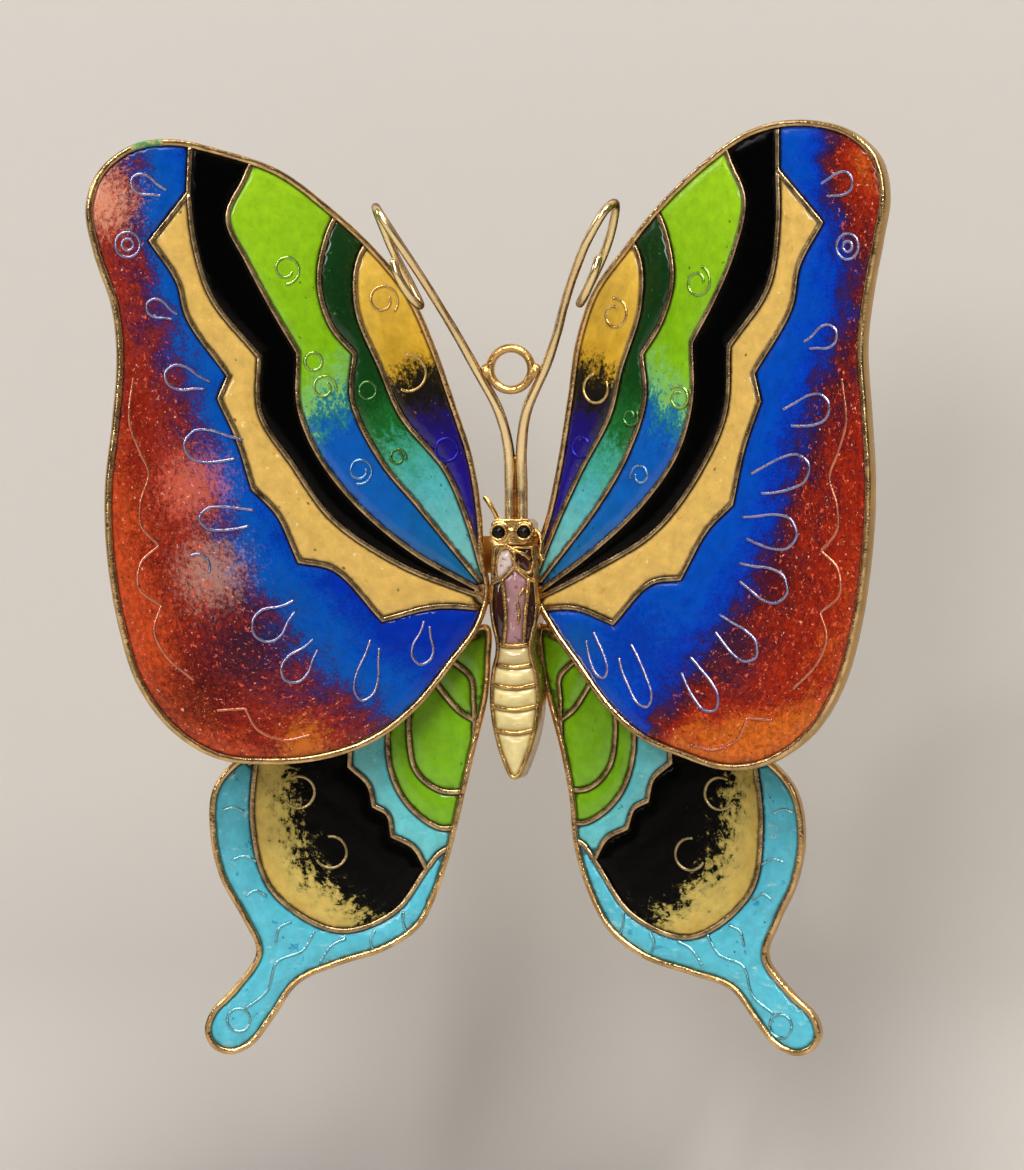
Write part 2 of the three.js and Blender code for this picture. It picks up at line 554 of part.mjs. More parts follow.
// Catch housing: two open collars on one foot, and a turning sleeve with a thumb lever inside them
const collarRoom = bar('x', -20, 0, STEM_Y, BAR_Z, CATCH_BORE, 28);
const collarSlot = box(-20, 0, STEM_Y, STEM_Y + 4, BAR_Z - CATCH_SLOT_HALF, BAR_Z + CATCH_SLOT_HALF);
const collar = (low, high) => bar('x', CATCH_X + low, CATCH_X + high, STEM_Y, BAR_Z, CATCH_OUTER, 28)
  .add(box(CATCH_X + low, CATCH_X + high, BAR_BACK + GAP, STEM_Y - 0.9, BAR_Z - 1.1, BAR_Z + 1.1));
gold('catch_housing', collar(-CATCH_HALF, -CATCH_WINDOW_HALF)
  .add(collar(CATCH_WINDOW_HALF, CATCH_HALF))
  .add(box(CATCH_X - CATCH_HALF, CATCH_X + CATCH_HALF, BAR_BACK + GAP, STEM_Y - 1.45, BAR_Z - 1.1, BAR_Z + 1.1))
  .subtract(collarRoom).subtract(collarSlot));
const leverShape = box(
  CATCH_X - LEVER_HALF, CATCH_X + LEVER_HALF, STEM_Y + 0.95, STEM_Y + LEVER_LENGTH,
  BAR_Z - 0.33, BAR_Z + 0.33);
const lever = leverShape.translate([0, -STEM_Y, -BAR_Z]).rotate([LEVER_ANGLE, 0, 0])
  .translate([0, STEM_Y, BAR_Z]);
gold('catch_sleeve', bar('x', CATCH_X - ROTOR_HALF, CATCH_X + ROTOR_HALF, STEM_Y, BAR_Z, ROTOR_OUTER, 28)
  .add(lever)
  .subtract(bar('x', -20, 0, STEM_Y, BAR_Z, ROTOR_BORE, 24))
  .subtract(box(-20, 0, STEM_Y, STEM_Y + 2, BAR_Z - ROTOR_SLOT_HALF, BAR_Z + ROTOR_SLOT_HALF)));

export default brooch;
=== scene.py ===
import bpy
import math
import numpy as np
from mathutils import Matrix, Vector, geometry, kdtree


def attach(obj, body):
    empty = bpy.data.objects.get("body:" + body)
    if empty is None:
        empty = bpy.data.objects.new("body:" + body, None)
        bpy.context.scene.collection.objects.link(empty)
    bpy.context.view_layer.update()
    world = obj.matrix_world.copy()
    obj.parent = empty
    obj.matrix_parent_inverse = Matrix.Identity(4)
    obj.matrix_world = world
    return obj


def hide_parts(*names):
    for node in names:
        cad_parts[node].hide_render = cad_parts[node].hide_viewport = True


# Butterfly brooch in wired enamel. Shapes are drawn in millimetres and turned to metres when meshed.
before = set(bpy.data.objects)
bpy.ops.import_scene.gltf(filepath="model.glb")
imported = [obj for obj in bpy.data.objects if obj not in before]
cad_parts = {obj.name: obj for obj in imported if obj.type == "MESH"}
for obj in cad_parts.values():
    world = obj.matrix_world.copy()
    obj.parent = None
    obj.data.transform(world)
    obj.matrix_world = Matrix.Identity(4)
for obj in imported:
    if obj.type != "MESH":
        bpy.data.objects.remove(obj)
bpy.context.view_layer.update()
MM = 0.001

# ---- camera and stage ----
AIM = Vector((0.36, -6.0, -2.06)) * MM
AZIMUTH, ELEVATION, ROLL = math.radians(9.78), math.radians(1.15), math.radians(-0.42)
CAMERA_DISTANCE = 0.340
LENS_MM = 151.7
WALL_Y, FLOOR_Z, STAGE_SIZE, SWEEP = 0.034, -0.052, 0.6, 0.02


def make_camera():
    data = bpy.data.cameras.new("camera")
    data.lens = LENS_MM
    data.sensor_width = 36
    data.clip_start, data.clip_end = 0.01, 10
    cam = bpy.data.objects.new("camera", data)
    back = Vector((math.sin(AZIMUTH) * math.cos(ELEVATION),
                   -math.cos(AZIMUTH) * math.cos(ELEVATION), math.sin(ELEVATION)))
    cam.location = AIM + back * CAMERA_DISTANCE
    turn = (-back).to_track_quat("-Z", "Y").to_matrix() @ Matrix.Rotation(ROLL, 3, "Z")
    cam.rotation_mode = "QUATERNION"
    cam.rotation_quaternion = turn.to_quaternion()
    bpy.context.scene.collection.objects.link(cam)
    bpy.context.scene.camera = cam


def new_material(name):
    mat = bpy.data.materials.new(name)
    mat.use_nodes = True
    tree = mat.node_tree
    tree.nodes.clear()
    return mat, tree


def node(tree, kind, **settings):
    made = tree.nodes.new(kind)
    for key, value in settings.items():
        if key.startswith("in_"):
            made.inputs[key[3:].replace("_", " ")].default_value = value
        else:
            setattr(made, key, value)
    return made


def link(tree, a, b):
    tree.links.new(a, b)


def make_stage():
    """A pale floor that sweeps up into a wall behind the brooch; the back face of the paper is clear."""
    profile = [(-STAGE_SIZE, FLOOR_Z)]
    for i in range(13):
        a = math.radians(90 * i / 12)
        profile.append((WALL_Y - SWEEP + SWEEP * math.sin(a), FLOOR_Z + SWEEP - SWEEP * math.cos(a)))
    profile.append((WALL_Y, STAGE_SIZE))
    verts = [(x, y, z) for x in (-STAGE_SIZE, STAGE_SIZE) for y, z in profile]
    n = len(profile)
    faces = [(i, i + 1, n + i + 1, n + i) for i in range(n - 1)]
    mesh = bpy.data.meshes.new("stage")
    mesh.from_pydata(verts, [], faces)
    for poly in mesh.polygons:
        poly.use_smooth = True
    mesh.update()
    if mesh.polygons[-1].normal.y > 0:
        mesh.flip_normals()
    mat, tree = new_material("stage_paper")
    out = node(tree, "ShaderNodeOutputMaterial")
    paper = node(tree, "ShaderNodeBsdfPrincipled", in_Base_Color=(0.55, 0.53, 0.505, 1), in_Roughness=0.75)
    clear = node(tree, "ShaderNodeBsdfTransparent")
    mix = node(tree, "ShaderNodeMixShader")
    side = node(tree, "ShaderNodeNewGeometry")
    link(tree, side.outputs["Backfacing"], mix.inputs[0])
    link(tree, paper.outputs[0], mix.inputs[1])
    link(tree, clear.outputs[0], mix.inputs[2])
    link(tree, mix.outputs[0], out.inputs[0])
    mesh.materials.append(mat)
    stage = bpy.data.objects.new("stage", mesh)
    bpy.context.scene.collection.objects.link(stage)


def area_light(name, place, size, power, colour):
    data = bpy.data.lights.new(name, "AREA")
    data.shape = "RECTANGLE"
    data.size, data.size_y = size
    data.energy = power
    data.color = colour
    lamp = bpy.data.objects.new(name, data)
    lamp.location = place
    lamp.rotation_euler = (-Vector(place)).to_track_quat("-Z", "Y").to_euler()
    bpy.context.scene.collection.objects.link(lamp)


def make_lights():
    area_light("key", (0.10, -0.30, 0.42), (0.26, 0.18), 2.05, (1, 0.955, 0.89))
    area_light("front", (-0.05, -0.46, 0.16), (0.16, 0.12), 0.7, (1, 0.97, 0.93))
    area_light("side", (-0.42, -0.16, 0.26), (0.10, 0.20), 0.4, (0.95, 0.97, 1))
    area_light("glint", (-0.12, -0.34, 0.30), (0.03, 0.03), 0.30, (1, 0.98, 0.95))
    area_light("back", (0.20, 0.32, 0.26), (0.16, 0.16), 0.6, (1, 0.97, 0.93))
    world = bpy.data.worlds.new("world")
    world.use_nodes = True
    tree = world.node_tree
    tree.nodes.clear()
    out = node(tree, "ShaderNodeOutputWorld")
    sky = node(tree, "ShaderNodeBackground", in_Strength=0.24)
    where = node(tree, "ShaderNodeTexCoord")
    part = node(tree, "ShaderNodeSeparateXYZ")
    ramp = node(tree, "ShaderNodeValToRGB")
    ramp.color_ramp.elements[0].position = 0.45
    ramp.color_ramp.elements[0].color = (0.17, 0.165, 0.16, 1)
    ramp.color_ramp.elements[1].position = 0.85
    ramp.color_ramp.elements[1].color = (0.95, 0.92, 0.88, 1)
    scale = node(tree, "ShaderNodeMath", operation="MULTIPLY_ADD")
    scale.inputs[1].default_value = 0.5
    scale.inputs[2].default_value = 0.5
    link(tree, where.outputs["Generated"], part.inputs[0])
    link(tree, part.outputs["Z"], scale.inputs[0])
    link(tree, scale.outputs[0], ramp.inputs[0])
    link(tree, ramp.outputs[0], sky.inputs["Color"])
    link(tree, sky.outputs[0], out.inputs[0])
    bpy.context.scene.world = world


make_camera()
make_stage()
make_lights()
bpy.context.scene.view_settings.view_transform = "Standard"

# ---- drawing in the plane of a wing ----
ROOT_X = 1.5
FORE_LIFT, HIND_LIFT = 26, 13
FORE_FACE_Y, HIND_FACE_Y = -1.1, 0.75
STEM_Y, STEM_Z = 3.9, 3.2
TRAY_BACK, TRAY_FLOOR = -1.25, -0.85
RIM_TOP, RIM_WIDTH = 0.12, 0.42
WIRE_TOP, WIRE_HALF = 0.05, 0.17
PLUG = (0.3, 0.5, 0.8)
NUDGE_REACH = 3.2

FORE_OUTLINE = [
    (0, 0.6), (0.3, 3.2), (0.9, 6), (1.7, 9.8), (2.8, 14), (3.9, 18), (5.4, 21.3), (7.8, 24.1),
    (11, 27.1), (14.6, 29.7), (18.4, 31.3), (22, 31.9), (25.3, 31.3), (27.6, 29.5), (28.4, 27),
    (27.9, 24), (26.9, 20.4), (26.5, 17), (26.8, 12.6), (27.2, 8), (27, 3.4), (26.2, -1.4),
    (24.9, -5.4), (22.6, -8.6), (19.4, -10.6), (16, -11.1), (12.2, -10.6), (8.6, -9.4),
    (5.6, -7.2), (3, -4.2), (1.2, -2)]
FORE_WIRES = [
    [[(20.6, 32.6), (20.7, 28.4)],
     [(20.7, 28.4), (23.7, 25)],
     [(23.7, 25), (21.9, 22.3), (21.2, 19.6), (18.3, 15.5)],
     [(18.3, 15.5), (18.9, 13.8)],
     [(18.9, 13.8), (17.6, 10.8), (16.6, 7.3)],
     [(16.6, 7.3), (14.7, 5.5), (12.9, 2.3)],
     [(12.9, 2.3), (10.4, 1.8), (7.2, -1.3)],
     [(7.2, -1.3), (3.8, -0.4), (0.6, -0.5)]],
    [[(20.7, 28.4), (20.5, 24.9), (19.5, 21), (16.3, 17.1)],
     [(16.3, 17.1), (16.1, 12.9), (13.8, 9), (10.7, 5.3), (6, 2.5), (0.4, 0.2)]],
    [[(15.9, 31.4), (16.9, 29.2), (18, 26.7), (16.9, 23.5), (15.1, 20.1), (13.4, 17.4)],
     [(13.4, 17.4), (13.4, 13.7), (12.2, 10.3), (9.4, 6.8), (5.2, 3.4), (0.6, 0.7)]],
    [[(9.8, 28), (11.3, 25.2), (11.9, 21.9), (11, 19), (9.4, 17)],
     [(9.4, 17), (9.6, 13.9), (7.9, 10), (5.2, 6.5), (0.6, 1.3)]],
    [[(7.6, 26), (9.2, 23.3), (9.2, 20), (7.6, 16), (6.4, 12.8), (3.6, 9), (1.8, 5.4), (0.4, 1.9)]]]
FORE_FIELDS = {
    "outer_blue_red": (24, 5), "cream_band": (21.2, 23.6), "black_band": (18.6, 23),
    "lime_blue_band": (14, 23), "dark_green_band": (10.6, 22), "amber_violet_band": (7.4, 20)}
HIND_OUTLINE = [
    (0.3, -1.7), (3, -2.6), (6.6, -5.4), (10.5, -8), (14.5, -9.5), (17.6, -10.9), (19.3, -12.9),
    (19.7, -16), (19.1, -19.1), (17.6, -22.1), (16.8, -24.3), (18.4, -26.6), (20.1, -28.3),
    (20.5, -29.7), (19.9, -30.8), (18.7, -31.2), (17.2, -30.6), (15.7, -28.8), (14, -26.6),
    (11.1, -25.5), (7.8, -24.5), (5.3, -22.8), (3.9, -20.3), (2.9, -17.2), (2.3, -13.8),
    (1.5, -10.2), (0.6, -6.8), (0.2, -4.2)]
HIND_WIRES = [
    [[(1.6, -9.9), (1.6, -7), (1.7, -5.3), (3.2, -3.9), (4.4, -2.6)]],
    [[(1.6, -8.3), (2.6, -7.6), (3.9, -5.9), (5.3, -3.8)]],
    [[(1.6, -13.2), (3.8, -13.1), (5.4, -11.7), (5.9, -9.4), (5.6, -4)]],
    [[(1.9, -15.4), (3.7, -15.6), (6, -13.9), (7.2, -11.2), (7.2, -5.2)]],
    [[(16.1, -9.2), (16.7, -15.3), (15.6, -20), (11.2, -23), (7.1, -21.7), (4.5, -18.3)],
     [(4.5, -18.3), (5.4, -16.8), (6.9, -16)],
     [(6.9, -16), (7.3, -14.6), (8.3, -14)],
     [(8.3, -14), (8.7, -12.5), (10, -11.3)],
     [(10, -11.3), (9.9, -6.6)]],
    [[(4.5, -18.3), (3.6, -17.2), (2.2, -16.7)]],
    [[(1.1, -2.4), (3.2, -3.3), (6.4, -6.05), (10.3, -8.6), (14.3, -10.1), (16.8, -11.2)]]]
HIND_FIELDS = {
    "root_green": (1.1, -4), "small_green": (2.6, -6.3), "large_green": (3.6, -10.5),
    "green_crescent": (6.2, -11.6), "inner_turquoise": (7, -14.2), "tail_turquoise": (18.2, -16),
    "eyespot": (12, -17)}
FORE_NUDGES = [
    (20.7, 28.4, -0.4, 0.5), (23.7, 25, 0.15, 0.3), (18.9, 13.8, -0.1, -0.4), (16.3, 17.1, 0.35, 0.2),
    (16.6, 7.3, 0, -0.75), (12.9, 2.3, -0.6, -0.75), (7.2, -1.3, -0.5, -0.15), (13.4, 17.4, -0.1, 0.3),
    (9.4, 17, 0, -0.25), (8.7, 24, 0.1, -0.1), (26.5, 30.5, 0.8, 0), (28.4, 27, 0.4, -0.2),
    (27, 20.4, 0.7, 0), (26.6, 14, 0.6, 0), (27.2, 7, 0.4, 0), (26.2, -1.4, 0.25, 0),
    (22.6, -8.6, 0.2, -0.1), (17, -11, 0, -0.2), (10, -9.9, 0.4, 0.2), (5.6, -7.2, 0.7, 0),
    (3, -4.2, 0.7, 0), (1.9, 9.8, 0.85, 0), (3, 14, 0.45, 0), (5, 20.5, 0, 0), (12, 27.8, 0, 0)]
HIND_NUDGES = [
    (18.6, -12.2, -0.4, 0), (19.7, -16, 0, 0), (16.8, -24.3, 0.1, 0), (20.3, -29.4, 0.3, 0.1),
    (18, -31, 0.2, 0.3), (14.4, -26.9, 0.4, 0), (10.5, -25.4, 0.1, -0.4), (6, -23.3, 0.1, -0.2),
    (3.2, -18.2, 0, 0.2), (2.3, -13.8, 0.25, 0), (1.6, -10.6, 0.35, 0), (4.5, -18.3, -0.55, 0.6),
    (11.2, -23, 0.25, 0), (5.6, -11.5, -0.1, 0.3)]


def nudge(points, nudges, side):
    """Points moved from the mean wing shape to the right wing (side 1) or the left one (side -1)."""
    p = np.atleast_2d(np.asarray(points, float))
    table = np.array(nudges)
    away = ((p[:, None, :] - table[None, :, :2]) ** 2).sum(2)
    weight = np.exp(-away / NUDGE_REACH ** 2)
    return p + side * (weight @ table[:, 2:]) / (weight.sum(1) + 0.15)[:, None]


def smooth(points, steps, closed=False):
    """A centripetal curve through points, in steps from each to the next."""
    p = np.asarray(points, float)
    n = len(p)
    if closed:
        ring = np.vstack([p[-1], p, p[0], p[1]])
        spans = n
    else:
        ring = np.vstack([2 * p[0] - p[1], p, 2 * p[-1] - p[-2]])
        spans = n - 1
    out = []
    for i in range(spans):
        a, b, c, d = ring[i:i + 4]
        t0, t1, t2 = (max(np.linalg.norm(e), 1e-6) ** 0.5 for e in (b - a, c - b, d - c))
        m1 = ((b - a) / t0 - (c - a) / (t0 + t1) + (c - b) / t1) * t1
        m2 = ((c - b) / t1 - (d - b) / (t1 + t2) + (d - c) / t2) * t1
        for k in range(steps):
            t = k / steps
            out.append((2 * t ** 3 - 3 * t ** 2 + 1) * b + (t ** 3 - 2 * t ** 2 + t) * m1
                       + (3 * t ** 2 - 2 * t ** 3) * c + (t ** 3 - t ** 2) * m2)
    if not closed:
        out.append(p[-1])
    return np.array(out)


def evenly(line, step, closed=False):
    """The same line with points a set step apart; sharp corners keep their own point."""
    keep = [line[0]]
    ends = np.vstack([line, line[:1]]) if closed else line
    for a, b in zip(ends[:-1], ends[1:]):
        length = np.linalg.norm(b - a)
        parts = max(1, int(round(length / step)))
        keep += [a + (b - a) * k / parts for k in range(1, parts + 1)]
    return np.array(keep[:-1] if closed else keep)


def quads(rows, n, closed=True):
    """Faces between rows of n points each; closed rows join their last point to their first."""
    return [(j * n + i, j * n + (i + 1) % n, (j + 1) * n + (i + 1) % n, (j + 1) * n + i)
            for j in range(rows - 1) for i in range(n if closed else n - 1)]


def full_turn(sides):
    """Angles evenly spaced round a circle."""
    return np.linspace(0, 2 * math.pi, sides + 1)[:-1]


def sidestep(line, distance, closed=False):
    """The line moved to its left by distance, mitred at corners."""
    p = np.asarray(line, float)
    into = p - np.roll(p, 1, 0)
    out = np.roll(p, -1, 0) - p
    if not closed:
        into[0], out[-1] = out[0], into[-1]
    into /= np.linalg.norm(into, axis=1)[:, None] + 1e-12
    out /= np.linalg.norm(out, axis=1)[:, None] + 1e-12
    ahead = into + out
    ahead /= np.linalg.norm(ahead, axis=1)[:, None] + 1e-12
    side = np.stack([-ahead[:, 1], ahead[:, 0]], 1)
    stretch = np.maximum(0.55, np.abs(side[:, 0] * -out[:, 1] + side[:, 1] * out[:, 0]))
    return p + side * (distance / stretch)[:, None]


def run_line(runs, steps=10):
    """One line through smooth runs that meet in sharp corners."""
    line = [np.array(runs[0][0], float)[None]]
    for run in runs:
        part = smooth(run, steps) if len(run) > 2 else evenly(np.array(run, float), 0.3)
        line.append(part[1:])
    return np.vstack(line)


def wing_place(side, lift, face_y):
    """Turns (u, v, w) millimetres of a wing into metres of the row."""
    c, s = math.cos(math.radians(lift)), math.sin(math.radians(lift))
    cols = np.array([[side * c, -s, 0], [0, 0, 1], [-side * s, -c, 0]])
    origin = np.array([side * ROOT_X, face_y - STEM_Y, -STEM_Z])
    return lambda p: (np.asarray(p, float) @ cols + origin) * MM


def wave(p, scale, seed=0):
    """Smooth low bumps from -1 to 1 over an array of points, always the same for the same seed."""
    p = np.asarray(p, float) * scale
    r = np.random.default_rng(seed)
    total = np.zeros(len(p))
    for _ in range(7):
        k = r.normal(size=p.shape[1])
        total += np.sin(p @ k * 1.6 + r.uniform(0, 6.28))
    return total / 4


def add_mesh(name, verts, faces, material, replaces=(), slot=None, flip=False, attributes=None):
    """A smooth piece on the brooch body, in place of the CAD nodes that it replaces."""
    mesh = bpy.data.meshes.new(name)
    if flip:
        faces = [tuple(reversed(f)) for f in faces]
    mesh.from_pydata([tuple(v) for v in verts], [], faces)
    mesh.validate()
    mesh.polygons.foreach_set("use_smooth", [True] * len(mesh.polygons))
    for key, values in (attributes or {}).items():
        kind = "FLOAT_VECTOR" if np.ndim(values) == 2 else "FLOAT"
        layer = mesh.attributes.new(key, kind, "POINT")
        layer.data.foreach_set("vector" if kind == "FLOAT_VECTOR" else "value", np.ravel(values))
    mesh.materials.append(material)
    made = bpy.data.objects.new(name, mesh)
    bpy.context.scene.collection.objects.link(made)
    for cad in replaces:
        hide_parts(cad)
    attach(made, "brooch")


# ---- flat shapes and the fields between wires ----
def strip_outline(line, half):
    """The outline of a band of the given half width along a line."""
    return np.vstack([sidestep(line, half), sidestep(line, -half)[::-1]])


def inside(points, polygon):
    """Which points lie within the polygon."""
    x, y = points[:, 0], points[:, 1]
    hit = np.zeros(len(points), bool)
    for (x0, y0), (x1, y1) in zip(polygon, np.roll(polygon, -1, 0)):
        crosses = (y0 > y) != (y1 > y)
        if crosses.any():
            hit ^= crosses & (x < (x1 - x0) * (y - y0) / (y1 - y0 + 1e-15) + x0)
    return hit


def left_of(points, line):
    """Distance from each point to a line, positive on the left of its run."""
    best = np.full(len(points), 1e9)
    sign = np.ones(len(points))
    for a, b in zip(line[:-1], line[1:]):
        d = b - a
        t = np.clip(((points - a) @ d) / (d @ d + 1e-15), 0, 1)
        gap = points - (a + t[:, None] * d)
        length = np.hypot(gap[:, 0], gap[:, 1])
        near = length < best
        best[near] = length[near]
        sign[near] = np.sign(d[0] * gap[near, 1] - d[1] * gap[near, 0] + 1e-12)
    return best * sign


def nearest(points, samples):
    """Distance from each point to the closest sample."""
    tree = kdtree.KDTree(len(samples))
    for i, p in enumerate(samples):
        tree.insert((p[0], p[1], 0), i)
    tree.balance()
    return np.array([tree.find((p[0], p[1], 0))[2] for p in points])


def fill_cells(rim, lines, half, plugs, spacing, seed):
    """Triangles inside the rim, clear of the wires and plugs, in groups that share edges."""
    loops = [rim] + [strip_outline(line, half) for line in lines]
    for u, v, r in plugs:
        turn = full_turn(48)
        loops.append(np.c_[u + r * np.cos(turn), v + r * np.sin(turn)])
    verts, edges = [], []
    for loop in loops:
        n = len(loop)
        edges += [(len(verts) + i, len(verts) + (i + 1) % n) for i in range(n)]
        verts += [tuple(p) for p in loop]
    rand = np.random.default_rng(seed)
    low, high = rim.min(0), rim.max(0)
    grid = np.mgrid[low[0]:high[0]:spacing, low[1]:high[1]:spacing * 0.87]
    grid[0][:, 1::2] += spacing / 2
    cloud = grid.reshape(2, -1).T + rand.uniform(-0.2, 0.2, (grid[0].size, 2)) * spacing
    cloud = cloud[inside(cloud, rim)]
    cloud = cloud[nearest(cloud, np.vstack(loops)) > spacing * 0.55]
    verts += [tuple(p) for p in cloud]
    out = geometry.delaunay_2d_cdt([Vector(v) for v in verts], edges, [], 0, 1e-6, False)
    points = np.array([tuple(v) for v in out[0]])
    tris = np.array([tuple(t) for t in out[2]])
    middle = points[tris].mean(1)
    keep = inside(middle, rim)
    for line in lines:
        keep &= np.abs(left_of(middle, line)) > half * 0.97
    for u, v, r in plugs:
        keep &= np.hypot(middle[:, 0] - u, middle[:, 1] - v) > r * 0.995
    cells = [tuple(int(i) for i in t) for t in tris[keep]]
    owner, parent = {}, list(range(len(cells)))

    def root(i):
        while parent[i] != i:
            parent[i] = parent[parent[i]]
            i = parent[i]
        return i
    for i, tri in enumerate(cells):
        for a, b in zip(tri, tri[1:] + tri[:1]):
            key = (min(a, b), max(a, b))
            if key in owner:
                parent[root(i)] = root(owner[key])
            owner[key] = i
    groups = {}
    for i, tri in enumerate(cells):
        groups.setdefault(root(i), []).append(tri)
    return points, list(groups.values())


def group_at(points, groups, seed):
    """The group of triangles that covers the seed point."""
    s = np.asarray(seed, float).reshape(2)
    for group in groups:
        tri = points[np.array(group)]
        e = np.roll(tri, -1, 1) - tri
        f = s - tri
        turn = e[..., 0] * f[..., 1] - e[..., 1] * f[..., 0]
        if (turn > -1e-9).all(1).any() or (turn < 1e-9).all(1).any():
            return group
    raise ValueError("no field at " + str(seed))


def take(points, group):
    """Own vertices, faces, border edges and distance to the border of one group."""
    used = sorted({i for t in group for i in t})
    index = {old: new for new, old in enumerate(used)}
    faces = [tuple(index[i] for i in t) for t in group]
    seen = {(a, b) for t in faces for a, b in zip(t, t[1:] + t[:1])}
    border = sorted(e for e in seen if (e[1], e[0]) not in seen)
    flat = points[used]
    samples = [flat[a] for a, b in border] + [(flat[a] + flat[b]) / 2 for a, b in border]
    return flat, faces, border, nearest(flat, samples)


def lens(name, part, height, low, place, flip, material, slot, fade):
    """A glass field with a shaped face, and sides down to low."""
    flat, faces, border, gap = part
    rim = sorted({i for e in border for i in e})
    base = {v: len(flat) + k for k, v in enumerate(rim)}
    pts = np.vstack([np.c_[flat, height], np.c_[flat[rim], np.full(len(rim), low)]])
    sides = [(b, a, base[a], base[b]) for a, b in border]
    add_mesh("look_" + name, place(pts), list(faces) + sides, material, [name], slot, flip=flip,
             attributes={"plane": np.c_[pts[:, :2], np.r_[gap, np.zeros(len(rim))]],
                         "fade": fade(pts[:, :2]) if fade else np.zeros(len(pts))})


class Shape:
    """Collects pieces of one object drawn in the same plane."""

    def __init__(self, place):
        self.place, self.verts, self.faces, self.plane = place, [], [], []

    def add(self, pts, faces):
        base = len(self.plane)
        self.verts.append(self.place(pts))
        self.faces += [tuple(i + base for i in f) for f in faces]
        self.plane += [tuple(p) for p in np.asarray(pts)]

    def sweep(self, line, profile, closed=False, rough=0.0, seed=0):
        """A surface with the given (offset, height) profile along a line, capped if it is open."""
        rows = []
        for i, (offset, height) in enumerate(profile):
            shake = rough * wave(np.c_[line, np.full(len(line), i * 0.6)], 1.3, seed) if rough else 0
            rows.append(np.c_[sidestep(line, offset, closed), np.full(len(line), float(height)) + shake])
        n, m = len(line), len(profile)
        faces = quads(m, n, closed)
        if not closed:
            faces += [tuple(j * n for j in range(m)), tuple(j * n + n - 1 for j in reversed(range(m)))]
        self.add(np.vstack(rows), faces)

    def make(self, name, material, replaces, slot, flip=False):
        add_mesh(name, np.vstack(self.verts), self.faces, material, replaces, slot, flip=flip,
                 attributes={"plane": np.array(self.plane)})


# ---- materials ----
def socket_noise(tree, where, scale, detail=2.0, rough=0.5, offset=(0, 0, 0), stretch=None, turn=0.0):
    """Noise from -1 to 1 over the given coordinates."""
    mapped = node(tree, "ShaderNodeMapping")
    mapped.inputs["Location"].default_value = offset
    mapped.inputs["Rotation"].default_value = (0, 0, turn)
    if stretch:
        mapped.inputs["Scale"].default_value = stretch
    link(tree, where, mapped.inputs["Vector"])
    tex = node(tree, "ShaderNodeTexNoise", in_Scale=scale, in_Detail=detail, in_Roughness=rough)
    link(tree, mapped.outputs[0], tex.inputs["Vector"])
    spread = node(tree, "ShaderNodeMapRange", clamp=False)
    for i, value in ((1, 0.3), (2, 0.7), (3, -1), (4, 1)):
        spread.inputs[i].default_value = value
    link(tree, tex.outputs[0], spread.inputs[0])
    return spread.outputs[0]


def maths(tree, kind, a, b, c=None, clamp=False):
    """A Math node; each operand is a number or an output socket."""
    made = node(tree, "ShaderNodeMath", operation=kind, use_clamp=clamp)
    for i, value in enumerate((a, b, c)):
        if value is None:
            continue
        if hasattr(value, "links"):
            link(tree, value, made.inputs[i])
        else:
            made.inputs[i].default_value = value
    return made.outputs[0]


def step_at(tree, value, low, high, start=0.0, end=1.0):
    """A smooth step of value from start at low to end at high."""
    made = node(tree, "ShaderNodeMapRange", interpolation_type="SMOOTHSTEP")
    link(tree, value, made.inputs[0])
    for i, v in ((1, low), (2, high), (3, start), (4, end)):
        made.inputs[i].default_value = v
    return made.outputs[0]


def mix_colour(tree, factor, a, b, kind="MIX"):
    made = node(tree, "ShaderNodeMix", data_type="RGBA", blend_type=kind)
    for i, value in ((0, factor), (6, a), (7, b)):
        if hasattr(value, "links"):
            link(tree, value, made.inputs[i])
        elif i == 0:
            made.inputs[0].default_value = value
        else:
            made.inputs[i].default_value = (*value, 1)
    return made.outputs[2]


def srgb(r, g, b):
    """Linear colour from eight-bit display values."""
    return tuple((c / 255 / 12.92) if c < 11 else ((c / 255 + 0.055) / 1.055) ** 2.4 for c in (r, g, b))


def surface(name, **settings):
    """A material with one principled shader; returns the material, its tree and the shader."""
    mat, tree = new_material(name)
    out = node(tree, "ShaderNodeOutputMaterial")
    shade = node(tree, "ShaderNodeBsdfPrincipled", **settings)
    link(tree, shade.outputs[0], out.inputs[0])
    return mat, tree, shade


def cloud_at(tree, where, u, v, reach, offset):
    """Ragged distance from (u, v) in the plane of the glass."""
    away = node(tree, "ShaderNodeVectorMath", operation="SUBTRACT")
    link(tree, where, away.inputs[0])
    away.inputs[1].default_value = (u, v, 0)
    flat = node(tree, "ShaderNodeVectorMath", operation="MULTIPLY")
    link(tree, away.outputs[0], flat.inputs[0])
    flat.inputs[1].default_value = (1, 1, 0)
    far = node(tree, "ShaderNodeVectorMath", operation="LENGTH")
    link(tree, flat.outputs[0], far.inputs[0])
    rag = socket_noise(tree, where, 2.6, 5, 0.85, offset)
    return maths(tree, "MULTIPLY_ADD", rag, 0.7 * reach, far.outputs["Value"])


